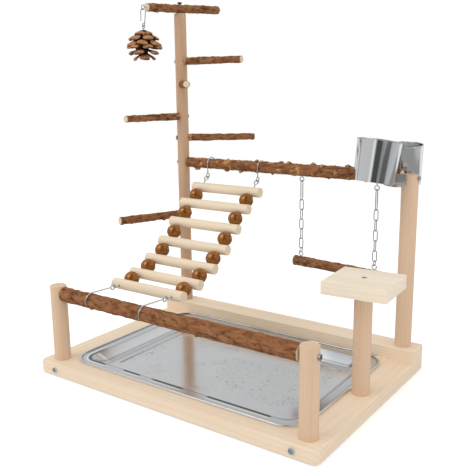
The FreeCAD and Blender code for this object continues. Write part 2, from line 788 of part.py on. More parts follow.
def ring(centre, normal, radius, wire):
    return Part.makeTorus(radius, wire, centre, normal)


def joined(pieces):
    """One solid from touching pieces."""
    solid = pieces[0].multiFuse(pieces[1:])
    return solid.removeSplitter().Solids[0]


def arc_wire(centre, radius, start, end, wire):
    """Wire bent about a centre in the YZ plane, from one angle to another, +Y at 0 and +Z at 90."""
    angles = [math.radians(start + (end - start) * k / 2.0) for k in range(3)]
    points = [centre + V(0, radius * math.cos(a), radius * math.sin(a)) for a in angles]
    path = Part.Wire([Part.Arc(*points).toShape()])
    turn = 90.0 if end > start else -90.0
    heading = math.radians(start + turn)
    disc = Part.Wire([Part.Circle(points[0], V(0, math.cos(heading), math.sin(heading)), wire).toShape()])
    return path.makePipeShell([disc], True, False), points[0], points[2]


def ball(centre, radius):
    return Part.makeSphere(radius, centre)


def chain_link(centre, length, width, wire, side):
    """A closed link with two straight sides; length and width are taken on the wire's middle."""
    r = width / 2
    half = length / 2 - r
    across = V(1, 0, 0) if side == "x" else V(0, 1, 0)
    normal = V(0, 1, 0) if side == "x" else V(1, 0, 0)
    pieces = []
    for sign in (-1, 1):
        middle = centre + V(0, 0, sign * half)
        bow = Part.makeTorus(r, wire, V(0, 0, 0), Z_AXIS, -180, 180, 180)
        bow.Placement = FreeCAD.Placement(V(0, 0, 0), Rotation(across, V(0, 0, sign), normal * 1, "XYZ"))
        bow.translate(middle)
        pieces.append(bow)
        pieces.append(rod(centre + across * (sign * r) - V(0, 0, half),
                          centre + across * (sign * r) + V(0, 0, half), wire))
    return joined(pieces)


# ---------------------------------------------------------------- ladder

hook_wire = float(s.hook_wire_diameter) / 2
ladder_wire = float(s.ladder_wire_diameter) / 2
loop = float(s.loop_radius)
rung_r = float(s.rung_diameter) / 2
bead_r = float(s.bead_diameter) / 2
step = 2 * (rung_r + bead_r + float(s.bead_gap))
ladder_x = -float(s.ladder_center)
wire_xs = (float(hook_left_x), float(hook_right_x))
main_axis = V(0, float(back_post_y), float(main_perch_z))
front_axis = V(0, float(front_post_y), float(front_perch_z))
span = front_axis - main_axis
chord = math.degrees(math.atan2(-span.z, -span.y))


def slope_vector(degrees):
    """A unit vector to the front, dropping by an angle."""
    angle = math.radians(degrees)
    return V(0, -math.cos(angle), -math.sin(angle))


hook_radius_top = float(main_perch_radius(hook_right_x)) + float(s.hook_clearance) + hook_wire
hook_radius_low = float(front_perch_radius) + float(s.hook_clearance) + hook_wire
first = main_axis + slope_vector(chord + LADDER_FIRST_TURN) * float(s.ladder_first_reach)
rungs = [first]
for turn in LADDER_TURNS:
    rungs.append(rungs[-1] + slope_vector(chord + turn) * step)

spans = [rungs[i + 1] - rungs[i] for i in range(len(rungs) - 1)]
link_gap = hook_wire + ladder_wire + 0.2
top_eye = main_axis + V(0, -hook_radius_top, -float(s.hook_drop))
top_line = (rungs[0] - top_eye).normalize()

# The lower hooks leave the last rung along the tangent to the front perch's upper side.
to_perch = front_axis - rungs[-1]
tilt = math.asin(hook_radius_low / to_perch.Length)
aim = math.atan2(-to_perch.z, -to_perch.y) - tilt
low_line = V(0, -math.cos(aim), -math.sin(aim))
tangent_length = to_perch.Length * math.cos(tilt)
headings = [top_line] + spans + [low_line]
for i, centre in enumerate(rungs):
    label = "ladder_rung_%d" % (i + 1)
    bar = doc.addObject("Part::Cylinder", label + "_bar")
    bind(bar, Radius=s.rung_diameter / 2, Height=s.rung_length)
    place(bar, -s.ladder_center - s.rung_length / 2, centre.y, centre.z, towards((1, 0, 0)))
    body = bar
    heading = headings[i].normalize() + headings[i + 1].normalize()
    for k, x in enumerate(wire_xs):
        drill = doc.addObject("Part::Cylinder", "%s_drill_%d" % (label, k))
        bind(drill, Radius=s.ladder_bore / 2, Height=s.rung_diameter * 2)
        start = V(x, centre.y, centre.z) - heading.normalize() * float(s.rung_diameter)
        place(drill, start.x, start.y, start.z, towards(heading))
        cut = doc.addObject("Part::Cut", "%s_cut_%d" % (label, k))
        cut.Base = body
        cut.Tool = drill
        body = cut
    keep(body, label)

for side, x in zip(("left", "right"), wire_xs):
    beads = []
    for i in range(len(rungs) - 1):
        centre = (rungs[i] + rungs[i + 1]) * 0.5
        bead = doc.addObject("Part::Sphere", "bead_%s_%d" % (side, i))
        bind(bead, Radius=s.bead_diameter / 2)
        place(bead, x, centre.y, centre.z)
        drill = doc.addObject("Part::Cylinder", "bead_%s_%d_drill" % (side, i))
        bind(drill, Radius=s.bead_bore / 2, Height=s.bead_diameter * 2)
        start = V(x, centre.y, centre.z) - spans[i].normalize() * float(s.bead_diameter)
        place(drill, start.x, start.y, start.z, towards(spans[i]))
        cut = doc.addObject("Part::Cut", "bead_%s_%d_cut" % (side, i))
        cut.Base = bead
        cut.Tool = drill
        beads.append(cut)
    group("ladder_beads_" + side, beads)

top_loop = top_eye + top_line * (2 * loop - link_gap)
low_loop = rungs[-1] + low_line * (rung_r + 4.0 + loop)
low_eye = low_loop + low_line * (2 * loop - link_gap)
for side, x in zip(("left", "right"), wire_xs):
    shift = V(x, 0, 0)
    points = [top_loop + top_line * loop] + rungs + [low_loop - low_line * loop]
    pieces = []
    for i in range(len(points) - 1):
        pieces.append(rod(points[i] + shift, points[i + 1] + shift, ladder_wire))
    for point in points[1:-1]:
        pieces.append(ball(point + shift, ladder_wire))
    for centre, line in ((top_loop, top_line), (low_loop, low_line)):
        normal = line.cross(V(1, 0, 0))
        pieces.append(ring(centre + shift, normal, loop, ladder_wire))
    feature("ladder_wire_" + side, joined(pieces))


def hook_shape(x, centre, radius, bend, eye_centre, arrive):
    """A wire hook: a bend over a perch, a straight run and a closed eye."""
    shift = V(x, 0, 0)
    bow, tip, end = arc_wire(centre + shift, radius, bend[0], bend[1], hook_wire)
    eye = ring(eye_centre + shift, V(1, 0, 0), loop, hook_wire)
    run_end = eye_centre + shift - arrive * loop
    return joined([bow, ball(tip, hook_wire), ball(end, hook_wire), rod(end, run_end, hook_wire), eye])


tops = []
lows = []
bend_low = math.degrees(math.atan2(low_line.z, low_line.y)) - 90.0
for x in wire_xs:
    down = V(0, 0, -1)
    eye_low = top_eye
    tops.append(hook_shape(x, main_axis, hook_radius_top, (-15.0, 180.0), eye_low, down))
    lows.append(hook_shape(x, front_axis, hook_radius_low, (195.0, bend_low % 360.0), low_eye, -low_line))
feature("ladder_hooks_top", Part.makeCompound(tops))
feature("ladder_hooks_bottom", Part.makeCompound(lows))

# ---------------------------------------------------------------- swing

swing_wire = float(s.swing_wire_diameter) / 2
swing_gap = 2 * swing_wire + 0.2
eye_r = float(s.eye_radius)
swing_xs = (float(s.swing_left_x), float(swing_right_x))
swing_y = float(back_post_y)
upper_eyes = []
long_links = []
rings = []
lower_eyes = []
perch_tops = []
for side, x, lower in (("left", swing_xs[0], 0.0), ("right", swing_xs[1], float(s.swing_lean))):
    skin = float(main_perch_z) - float(main_perch_radius(Size.wrap(x)))
    eye = V(x, swing_y, skin - eye_r - swing_wire - 0.4 - lower)
    stem_top = V(x, swing_y, skin + float(s.eye_stem) - 0.3)
    stem_foot = eye + V(0, 0, eye_r)
    upper_eyes.append(joined([ring(eye, V(0, 1, 0), eye_r, swing_wire), rod(stem_foot, stem_top, swing_wire)]))
    level = eye.z - eye_r + swing_gap
    middle = V(x, swing_y, level - float(s.long_link_length) / 2)
    long_links.append(chain_link(middle, float(s.long_link_length), float(s.link_width), swing_wire, "y"))
    level -= float(s.long_link_length)
    links = []
    for i in range(5):
        level += swing_gap
        middle = V(x, swing_y, level - float(s.link_length) / 2)
        across = "x" if i % 2 == 0 else "y"
        links.append(chain_link(middle, float(s.link_length), float(s.link_width), swing_wire, across))
        level -= float(s.link_length)
    feature("swing_chain_" + side, Part.makeCompound(links))
    ring_r = float(s.swing_ring_radius)
    level += swing_gap
    rings.append(ring(V(x, swing_y, level - ring_r), V(1, 0, 0), ring_r, swing_wire))
    level += swing_gap - 2 * ring_r
    low = V(x, swing_y, level - eye_r)
    top = low.z - eye_r - swing_wire - 0.4
    stem_end = V(x, swing_y, top - float(s.eye_stem) + 0.3)
    lower_eyes.append(joined([ring(low, V(0, 1, 0), eye_r, swing_wire),
                              rod(stem_end, low - V(0, 0, eye_r), swing_wire)]))
    perch_tops.append(V(x, swing_y, top))
feature("swing_eyes", Part.makeCompound(upper_eyes))
feature("swing_long_links", Part.makeCompound(long_links))
feature("swing_rings", Part.makeCompound(rings))
feature("swing_perch_eyes", Part.makeCompound(lower_eyes))

bar_dir = (perch_tops[1] - perch_tops[0]).normalize()
bar_r0 = s.swing_perch_left_diameter / 2
bar_r1 = s.swing_perch_right_diameter / 2
bar_span = (perch_tops[1] - perch_tops[0]).Length
bar_length = s.swing_perch_overhang * 2.0 + bar_span
hang_bores = []
for along in (s.swing_perch_overhang, s.swing_perch_overhang + bar_span):
    share = float(along) / float(bar_length)
    radius = bar_r0 * (1.0 - share) + bar_r1 * share
    hang_bores.append((eye_bore + 0.3, s.eye_stem + 2.0, -radius - 2.0, 0, along, (1, 0, 0)))
swing_perch = branch("swing_perch", bar_length, bar_r0, bar_r1, 9, s.knob_radius * 0.6, hang_bores,
                     (s.swing_perch_overhang, s.swing_perch_overhang + bar_span), seed=9)
# The bar's axis lies under the two eyes by its own radius at each.
under = []
for point, along in zip(perch_tops, (float(s.swing_perch_overhang), float(s.swing_perch_overhang) + bar_span)):
    share = along / float(bar_length)
    under.append(point - V(0, 0, float(bar_r0) * (1 - share) + float(bar_r1) * share))
bar_dir = (under[1] - under[0]).normalize()
bar_start = under[0] - bar_dir * float(s.swing_perch_overhang)
place(swing_perch, bar_start.x, bar_start.y, bar_start.z,
      Rotation(V(0, 0, -1), V(0, 0, 0), bar_dir, "ZXY"))

# ---------------------------------------------------------------- hanging cone

clip_wire = float(s.clip_wire_diameter) / 2
side_dir = V(-top_dir.y, top_dir.x, 0)
perch_end = V(float(mast_x), float(back_post_y), float(top_perch_z)) + top_axis * float(s.top_perch_front)
cone_eye = perch_end + top_axis * (float(s.cone_eye_reach) + eye_r + swing_wire)
feature("top_perch_eye", joined([
    ring(cone_eye, side_dir, eye_r, swing_wire),
    rod(perch_end - top_axis * (float(s.eye_stem) - 0.3), cone_eye - top_axis * eye_r, swing_wire),
]))

# The hook hangs in the eye: a free leg at the left, a bend over the eye's wire, a run to a small loop.
clip_r = float(s.cone_hook_radius)
small_r = 2.6
clip_top = cone_eye - V(0, 0, eye_r) + V(0, 0, swing_wire + clip_wire + 0.15)
clip_hub = clip_top - V(0, 0, clip_r)
drop = float(s.cone_hook_drop) - clip_r
foot_centre = clip_hub - V(0, 0, drop)
lean = math.asin((clip_r - small_r) / drop)
out = side_dir * math.cos(lean) - V(0, 0, math.sin(lean))
clip_pieces = [rod(clip_hub + out * clip_r, foot_centre + out * small_r, clip_wire)]
leg_top = clip_hub - side_dir * clip_r
leg_foot = leg_top - V(0, 0, float(s.cone_hook_leg))
clip_pieces.append(rod(leg_top, leg_foot, clip_wire))
clip_pieces.append(ball(leg_foot, clip_wire))


def clip_arc(centre, radius, low, high):
    """An arc in the clip's plane, angles from its sideways direction."""
    points = []
    for k in range(3):
        a = math.radians(low + (high - low) * k / 2.0)
        points.append(centre + side_dir * (radius * math.cos(a)) + V(0, 0, radius * math.sin(a)))
    a = math.radians(low)
    heading = side_dir * -math.sin(a) + V(0, 0, math.cos(a))
    path = Part.Wire([Part.Arc(*points).toShape()])
    return path.makePipeShell([Part.Wire([Part.Circle(points[0], heading, clip_wire).toShape()])], True, False)


clip_pieces.append(clip_arc(clip_hub, clip_r, -math.degrees(lean), 180.0))
clip_pieces.append(clip_arc(foot_centre, small_r, -math.degrees(lean), -math.degrees(lean) - 285.0))
feature("pinecone_clip", joined(clip_pieces))

cone_loop_r = 2.5
loop_top = foot_centre - V(0, 0, small_r) + V(0, 0, 2 * clip_wire + 0.2)
loop_centre = loop_top - V(0, 0, cone_loop_r)
cone_top = loop_centre - V(0, 0, cone_loop_r + clip_wire + 1.0)
cone_h = float(s.cone_height)
feature("pinecone_loop", joined([
    ring(loop_centre, side_dir, cone_loop_r, clip_wire),
    rod(cone_top - V(0, 0, 8.0), loop_centre - V(0, 0, cone_loop_r), clip_wire),
]))


def cone_scale(reach, width, thickness):
    """A woody scale lying along +X: a thin stalk that widens to a thick pointed end."""
    w = width / 2
    plan = [V(0, -w * 0.5, 0), V(reach * 0.76, -w, 0), V(reach * 0.95, -w * 0.6, 0), V(reach, 0, 0),
            V(reach * 0.95, w * 0.6, 0), V(reach * 0.76, w, 0), V(0, w * 0.5, 0)]
    side = [V(0, -w, 0), V(reach * 0.74, -w, 0), V(reach * 0.9, -w, -thickness * 0.9),
            V(reach, -w, -thickness * 0.2), V(reach * 0.94, -w, thickness), V(reach * 0.76, -w, thickness * 1.25),
            V(0, -w, thickness * 0.6)]
    seen_above = Part.Face(Part.makePolygon(plan + plan[:1])).extrude(V(0, 0, thickness * 4))
    seen_above.translate(V(0, 0, -thickness * 2))
    seen_beside = Part.Face(Part.makePolygon(side + side[:1])).extrude(V(0, width, 0))
    return seen_above.common(seen_beside)


cone_r = float(s.cone_radius)
core_r = cone_r * 0.30
core_top = Part.makeCone(core_r * 0.7, core_r, cone_h * 0.3)
core_low = Part.makeCone(core_r, core_r * 0.5, cone_h * 0.5)
core_top.Placement = FreeCAD.Placement(cone_top, towards((0, 0, -1)))
core_low.Placement = FreeCAD.Placement(cone_top - V(0, 0, cone_h * 0.3), towards((0, 0, -1)))
cone_pieces = [core_top, core_low]
# rows: level from the top as a share of the height, reach as a share of the radius, drop in degrees
for k, (level, out, dip, count) in enumerate(((0.04, 0.52, 26, 5), (0.13, 0.84, 25, 7), (0.30, 1.0, 20, 8),
                                             (0.50, 1.0, 15, 7), (0.66, 0.86, 24, 7), (0.76, 0.55, 42, 5))):
    for i in range(count):
        reach = cone_r * out / math.cos(math.radians(dip))
        scale = cone_scale(reach, cone_r * 0.46, cone_h * 0.065)
        scale.rotate(V(0, 0, 0), V(0, 1, 0), dip)
        scale.rotate(V(0, 0, 0), Z_AXIS, 360.0 * (i + 0.5 * (k % 2)) / count)
        scale.translate(cone_top - V(0, 0, cone_h * level))
        cone_pieces.append(scale)
cone_bore = Part.makeCylinder(clip_wire + 0.1, 9.0, cone_top + V(0, 0, 0.5), V(0, 0, -1))
feature("pinecone", joined(cone_pieces).cut(cone_bore).Solids[0])

# ---------------------------------------------------------------- cups and their holders

cup_radius = s.cup_diameter / 2
cup_foot_radius = s.cup_foot_diameter / 2
side_reach = post_radius + s.holder_clearance
plate_face = side_reach + s.holder_thickness + s.holder_clearance
cup_slope = (cup_radius - cup_foot_radius) / s.cup_height


def holder_turn(lean, sign):
    """The turn of a holder's frame: its origin on the bolt, +Z up the plate, +Y away from the perch."""
    turn = Rotation(V(0, 1, 0), lean)
    if sign < 0:
        turn = turn.multiply(Rotation(Z_AXIS, 180))
    return turn


def cup_cone(label, inwards):
    """The cup's outer form, or the form that lies inwards of it by a wall."""
    form = doc.addObject("Part::Cone", label)
    bind(form, Radius1=cup_foot_radius - inwards, Radius2=cup_radius - inwards, Height=s.cup_height)
    return form


for side, sign, lean_angle, tilt_angle, drop_size in (
        ("front", -1.0, CUP_FRONT_LEAN, CUP_FRONT_TILT, s.front_cup_drop),
        ("back", 1.0, CUP_BACK_LEAN, CUP_BACK_TILT, s.back_cup_drop)):
    turn = holder_turn(lean_angle, sign)
    tilt = math.radians(tilt_angle)
    tip = math.radians(lean_angle)
    # the cup's foot, out from the bolt: its wall leans in to meet the hook just over the plate
    hooked_level = s.cup_hook_level + s.holder_clearance + s.cup_hook_thickness
    wall_run = (hooked_level + cup_foot_radius * math.sin(tilt)) * (
        1.0 / (math.cos(tilt) - float(cup_slope) * math.sin(tilt)))
    hooked_radius = cup_foot_radius + wall_run * float(cup_slope)
    foot_reach = (plate_face + s.cup_hook_gap + wall_run * math.sin(tilt)
                  + hooked_radius * math.cos(tilt))
    tilted = Rotation(V(1, 0, 0), tilt_angle)
    tongue_height = s.cup_hook_level - drop_size

    shell = cup_cone("cup_%s_shell" % side, 0.0)
    hollow = cup_cone("cup_%s_hollow" % side, s.cup_wall)
    place(hollow, 0, 0, s.cup_wall)
    lip_ring = doc.addObject("Part::Torus", "cup_%s_lip" % side)
    bind(lip_ring, Radius1=cup_radius - s.cup_wall / 2, Radius2=s.cup_lip / 2)
    place(lip_ring, 0, 0, s.cup_height)
    wall = doc.addObject("Part::Cut", "cup_%s_wall" % side)
    wall.Base = shell
    wall.Tool = hollow
    cup = doc.addObject("Part::MultiFuse", "cup_%s_body" % side)
    cup.Shapes = [wall, lip_ring]
    keep(cup, "cup_" + side)
    place(cup, bolt_x - drop_size * math.sin(tip), back_post_y + foot_reach * sign,
          main_perch_z - drop_size * math.cos(tip), turn.multiply(tilted))

    bar = doc.addObject("Part::Box", "holder_%s_bar" % side)
    bind(bar, Length=s.holder_length, Width=s.holder_thickness, Height=s.holder_height)
    tail = s.holder_height / 2
    place(bar, (s.holder_length - tail) * -1.0 if sign < 0 else -tail, side_reach, -s.holder_height / 2)
    tongue = doc.addObject("Part::Box", "holder_%s_tongue" % side)
    bind(tongue, Length=s.holder_tongue_width, Width=s.holder_thickness, Height=tongue_height)
    place(tongue, s.holder_tongue_width * -0.5, side_reach, 0)
    plate = doc.addObject("Part::MultiFuse", "holder_%s_plate" % side)
    plate.Shapes = [bar, tongue]
    eyelet = doc.addObject("Part::Cylinder", "holder_%s_eyelet" % side)
    bind(eyelet, Radius=s.bolt_diameter / 2 + s.screw_clearance, Height=s.holder_thickness * 3.0)
    place(eyelet, 0, side_reach - s.holder_thickness, 0, towards((0, 1, 0)))
    holder = doc.addObject("Part::Cut", "holder_%s_body" % side)
    holder.Base = plate
    holder.Tool = eyelet
    keep(holder, "cup_holder_" + side)
    place(holder, bolt_x, back_post_y, main_perch_z, turn)

    # the cup's hook: its pad fits the wall, then over the plate's top edge and down behind it
    near = side_reach - s.cup_hook_thickness - s.holder_clearance
    bridge_z = tongue_height + s.holder_clearance
    bridge = doc.addObject("Part::Box", "cup_hook_%s_bridge" % side)
    bind(bridge, Length=s.cup_hook_width, Width=plate_face + s.cup_hook_pad - near,
         Height=s.cup_hook_thickness)
    place(bridge, s.cup_hook_width * -0.5, near, bridge_z)
    leg = doc.addObject("Part::Box", "cup_hook_%s_leg" % side)
    bind(leg, Length=s.cup_hook_width, Width=s.cup_hook_thickness, Height=s.cup_hook_leg)
    place(leg, s.cup_hook_width * -0.5, near, bridge_z - s.cup_hook_leg)
    pad = doc.addObject("Part::Box", "cup_hook_%s_pad" % side)
    bind(pad, Length=s.cup_hook_width, Width=s.cup_hook_pad, Height=s.cup_hook_leg)
    place(pad, s.cup_hook_width * -0.5, plate_face, bridge_z - s.cup_hook_leg)
    strap = doc.addObject("Part::MultiFuse", "cup_hook_%s_strap" % side)
    strap.Shapes = [bridge, leg, pad]
    outline = cup_cone("cup_hook_%s_outline" % side, 0.0)
    place(outline, 0, foot_reach, -drop_size, tilted)
    hook = doc.addObject("Part::Cut", "cup_hook_%s_body" % side)
    hook.Base = strap
    hook.Tool = outline
    keep(hook, "cup_hook_" + side)
    place(hook, bolt_x, back_post_y, main_perch_z, turn)

grip = side_reach + s.holder_thickness + s.holder_clearance
bolt_shaft = doc.addObject("Part::Cylinder", "cup_bolt_shaft")
bind(bolt_shaft, Radius=s.bolt_diameter / 2, Height=grip * 2.0 + s.bolt_head_height)
bolt_head = doc.addObject("Part::Cylinder", "cup_bolt_head")
bind(bolt_head, Radius=s.bolt_head_diameter / 2, Height=s.bolt_head_height)
place(bolt_head, 0, 0, -s.bolt_head_height)
bolt = doc.addObject("Part::MultiFuse", "cup_bolt_body")
bolt.Shapes = [bolt_shaft, bolt_head]
keep(bolt, "cup_bolt")
place(bolt, bolt_x, back_post_y - grip, main_perch_z, towards((0, 1, 0)))

nut_block = doc.addObject("Part::Prism", "cup_nut_block")
nut_block.Polygon = 6
bind(nut_block, Circumradius=s.bolt_head_diameter / 2, Height=s.bolt_head_height)
nut_hole = doc.addObject("Part::Cylinder", "cup_nut_hole")
bind(nut_hole, Radius=s.bolt_diameter / 2, Height=s.bolt_head_height)
nut = doc.addObject("Part::Cut", "cup_nut_body")
nut.Base = nut_block
nut.Tool = nut_hole
keep(nut, "cup_nut")
place(nut, bolt_x, back_post_y + grip, main_perch_z, towards((0, 1, 0)))

# ---------------------------------------------------------------- check and write

doc.recompute()

# The frame's origin stands under the middle of the whole stand's box.
box = FreeCAD.BoundBox()
for obj in NODES:
    box.add(obj.Shape.BoundBox)
for obj in NODES:
    formulas = dict(obj.ExpressionEngine)
    base = obj.Placement.Base
    for axis, start, middle in (("x", base.x, box.Center.x), ("y", base.y, box.Center.y)):
        key = "Placement.Base." + axis
        old = formulas.get("." + key, formulas.get(key))
        if old is None:
            setattr(base, axis, start - middle)
        else:
            obj.setExpression(key, "%s - %.6f" % (old, middle))
    obj.Placement = FreeCAD.Placement(base, obj.Placement.Rotation)
doc.recompute()
for obj in doc.Objects:
    if "Invalid" in obj.State or "Error" in obj.State:
        raise RuntimeError("%s could not be made: %s" % (obj.Label, obj.State))
os.makedirs("parts", exist_ok=True)
for obj in NODES:
    shape = obj.Shape
    if shape.isNull() or not shape.isValid() or not shape.Solids:
        raise RuntimeError("%s has no valid solid" % obj.Label)
    shape.exportStep(os.path.join("parts", obj.Label + ".step"))
print("pieces written: %d, origin moved by %.3f, %.3f" % (len(NODES), box.Center.x, box.Center.y))
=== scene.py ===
import json
import math
import random

import bpy
from bpy.props import FloatProperty, FloatVectorProperty, PointerProperty
from mathutils import Matrix, Vector


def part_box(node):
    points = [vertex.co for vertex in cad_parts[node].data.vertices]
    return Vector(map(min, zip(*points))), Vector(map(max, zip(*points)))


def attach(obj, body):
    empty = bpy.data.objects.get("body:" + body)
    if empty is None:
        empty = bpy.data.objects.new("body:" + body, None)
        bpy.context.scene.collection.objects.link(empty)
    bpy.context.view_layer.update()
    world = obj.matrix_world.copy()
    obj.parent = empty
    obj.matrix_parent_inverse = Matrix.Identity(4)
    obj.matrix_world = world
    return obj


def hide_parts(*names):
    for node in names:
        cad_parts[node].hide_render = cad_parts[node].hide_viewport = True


bl_info = {
    "name": "Parrot Play Stand",
    "version": (1, 0, 0),
    "blender": (4, 5, 0),
    "location": "3D View > Sidebar > Play Stand",
    "description": "Finishes the play stand: pine, bark, steel, wire, beads and cone, with its studio",
    "category": "Object",
}

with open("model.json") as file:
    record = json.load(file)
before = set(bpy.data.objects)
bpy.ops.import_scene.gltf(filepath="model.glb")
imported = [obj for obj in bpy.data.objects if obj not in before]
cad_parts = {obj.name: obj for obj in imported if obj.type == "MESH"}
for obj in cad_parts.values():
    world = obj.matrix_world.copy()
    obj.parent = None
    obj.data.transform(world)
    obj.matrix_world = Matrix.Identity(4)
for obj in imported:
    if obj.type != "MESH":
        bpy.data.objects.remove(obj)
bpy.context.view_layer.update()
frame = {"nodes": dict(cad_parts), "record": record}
NODES = frame["nodes"]

# The camera stands where the photograph was taken from, in the stand's own frame.
CAMERA_PLACE = Vector((0.58133, -0.84865, 0.43879))
CAMERA_AZIMUTH = math.radians(35.29)
CAMERA_PITCH = math.radians(12.47)
CAMERA_ROLL = math.radians(-0.57)
CAMERA_LENS = 51.66

BARK_PERCHES = ("front_perch", "main_perch", "top_perch", "perch_upper_right", "perch_upper_front",
                "perch_middle_front", "perch_middle_back", "perch_lower_front")
RUNGS = ["ladder_rung_%d" % number for number in range(1, 8)]


# ---------------------------------------------------------------- node helpers

def feed(tree, value, socket):
    """Link a socket, or set its value."""
    if isinstance(value, bpy.types.NodeSocket):
        tree.links.new(value, socket)
    elif socket.type == "RGBA" and len(value) == 3:
        socket.default_value = (*value, 1.0)
    else:
        socket.default_value = value


def node(tree, kind, inputs=None, **settings):
    """Add a node with its settings, and fill its inputs."""
    made = tree.nodes.new(kind)
    for name, value in settings.items():
        setattr(made, name, value)
    for name, value in (inputs or {}).items():
        feed(tree, value, made.inputs[name])
    return made


def calc(tree, operation, first, second=0.0, clamp=False):
    """One step of arithmetic."""
    made = node(tree, "ShaderNodeMath", {0: first, 1: second}, operation=operation, use_clamp=clamp)
    return made.outputs[0]


def times(tree, first, second, clamp=False):
    return calc(tree, "MULTIPLY", first, second, clamp)


def split(tree, vector):
    """A vector's three parts."""
    return node(tree, "ShaderNodeSeparateXYZ", {0: vector}).outputs


def attribute(tree, name, output="Fac"):
    """A value that the mesh carries."""
    return node(tree, "ShaderNodeAttribute", attribute_name=name).outputs[output]


def dimmed(colour, share):
    return [value * share for value in colour]


def vector_calc(tree, operation, first, second):
    return node(tree, "ShaderNodeVectorMath", {0: first, 1: second}, operation=operation).outputs[0]


def blend_colour(tree, share, first, second, how="MIX"):
    made = node(tree, "ShaderNodeMix", data_type="RGBA", blend_type=how)
    feed(tree, share, made.inputs[0])
    feed(tree, first, made.inputs[6])
    feed(tree, second, made.inputs[7])
    return made.outputs[2]


def remap(tree, value, low, high, to_low=0.0, to_high=1.0, how="SMOOTHSTEP"):
    made = node(tree, "ShaderNodeMapRange", {"Value": value, "From Min": low, "From Max": high,
                                             "To Min": to_low, "To Max": to_high},
                interpolation_type=how)
    return made.outputs[0]


def cloud(tree, vector, scale, detail=2.0, roughness=0.5):
    return node(tree, "ShaderNodeTexNoise", {"Vector": vector, "Scale": scale, "Detail": detail,
                                             "Roughness": roughness}).outputs["Fac"]


def cells(tree, vector, scale, feature="F1", randomness=1.0):
    return node(tree, "ShaderNodeTexVoronoi", {"Vector": vector, "Scale": scale, "Randomness": randomness},
                feature=feature).outputs["Distance"]


def stretch(tree, vector, factors):
    return vector_calc(tree, "MULTIPLY", vector, factors)


def ramp(tree, value, stops):
    """A colour ramp from (place, colour) pairs."""
    made = node(tree, "ShaderNodeValToRGB", {"Fac": value})
    band = made.color_ramp
    while len(band.elements) < len(stops):
        band.elements.new(0.5)
    for element, (place, colour) in zip(band.elements, stops):
        element.position = place
        element.color = (*colour, 1.0)
    return made.outputs[0]


def new_group(name, inputs, outputs):
    """A shader node group with named sockets, and its two end nodes."""
    group = bpy.data.node_groups.new(name, "ShaderNodeTree")
    for label, kind, default in inputs:
        socket = group.interface.new_socket(name=label, in_out="INPUT", socket_type=kind)
        if default is not None:
            socket.default_value = default
    for label, kind in outputs:
        group.interface.new_socket(name=label, in_out="OUTPUT", socket_type=kind)
    return group, group.nodes.new("NodeGroupInput").outputs, group.nodes.new("NodeGroupOutput").inputs


def use_group(tree, group, inputs):
    made = tree.nodes.new("ShaderNodeGroup")
    made.node_tree = group
    for name, value in inputs.items():
        feed(tree, value, made.inputs[name])
    return made.outputs


def new_material(name):
    """An empty material with its surface shader and output."""
    material = bpy.data.materials.new(name)
    material.use_nodes = True
    tree = material.node_tree
    tree.nodes.clear()
    shader = node(tree, "ShaderNodeBsdfPrincipled")
    end = node(tree, "ShaderNodeOutputMaterial")
    tree.links.new(shader.outputs[0], end.inputs[0])
    return material, tree, shader


def object_place(tree):
    return node(tree, "ShaderNodeTexCoord").outputs["Object"]


def bump(tree, height, strength, distance):
    return node(tree, "ShaderNodeBump", {"Height": height, "Strength": strength,
                                         "Distance": distance}).outputs[0]


# ---------------------------------------------------------------- shared patterns

def wood_grain_group():
    """Growth rings and fibres of timber whose grain runs along Z, with the pith at X = Y = 0."""
    group, given, out = new_group(
        "wood grain",
        [("Vector", "NodeSocketVector", None), ("Ring Spacing", "NodeSocketFloat", 0.004),
         ("Wander", "NodeSocketFloat", 0.004)],
        [("Rings", "NodeSocketFloat"), ("Fibres", "NodeSocketFloat"), ("Streaks", "NodeSocketFloat"),
         ("Height", "NodeSocketFloat")])
    place = given["Vector"]
    wander = cloud(group, stretch(group, place, (9.0, 9.0, 1.6)), 1.0, 2.0)
    wander = times(group, calc(group, "SUBTRACT", wander, 0.5), given["Wander"])
    shaken = vector_calc(group, "ADD", stretch(group, place, (1.0, 1.0, 0.0)),
                         node(group, "ShaderNodeCombineXYZ", {0: wander, 1: wander}).outputs[0])
    reach = node(group, "ShaderNodeVectorMath", {0: shaken}, operation="LENGTH").outputs["Value"]
    turns = calc(group, "FRACT", calc(group, "DIVIDE", reach, given["Ring Spacing"]))
    late = remap(group, turns, 0.25, 0.9)
    edge = remap(group, turns, 0.9, 1.0, 1.0, 0.0)
    rings = times(group, late, edge)
    fibres = cloud(group, stretch(group, place, (1500.0, 1500.0, 26.0)), 1.0, 3.0, 0.6)
    streaks = cloud(group, stretch(group, place, (190.0, 190.0, 5.0)), 1.0, 2.0, 0.5)
    height = calc(group, "ADD", times(group, rings, 0.35), times(group, fibres, 0.65))
    for name, value in (("Rings", rings), ("Fibres", fibres), ("Streaks", streaks), ("Height", height)):
        feed(group, value, out[name])
    return group


def handling_group():
    """Soft uneven tone left by hands and light, and tiny scattered specks."""
    group, given, out = new_group(
        "handling marks",
        [("Vector", "NodeSocketVector", None), ("Patch Size", "NodeSocketFloat", 0.05)],
        [("Patches", "NodeSocketFloat"), ("Specks", "NodeSocketFloat")])
    size = calc(group, "DIVIDE", 1.0, given["Patch Size"])
    patches = remap(group, cloud(group, given["Vector"], size, 3.0), 0.3, 0.7)
    specks = remap(group, cells(group, given["Vector"], 260.0), 0.06, 0.16, 1.0, 0.0)
    sparse = remap(group, cloud(group, given["Vector"], 30.0, 2.0), 0.55, 0.62)
    feed(group, patches, out["Patches"])
    feed(group, times(group, specks, sparse), out["Specks"])
    return group


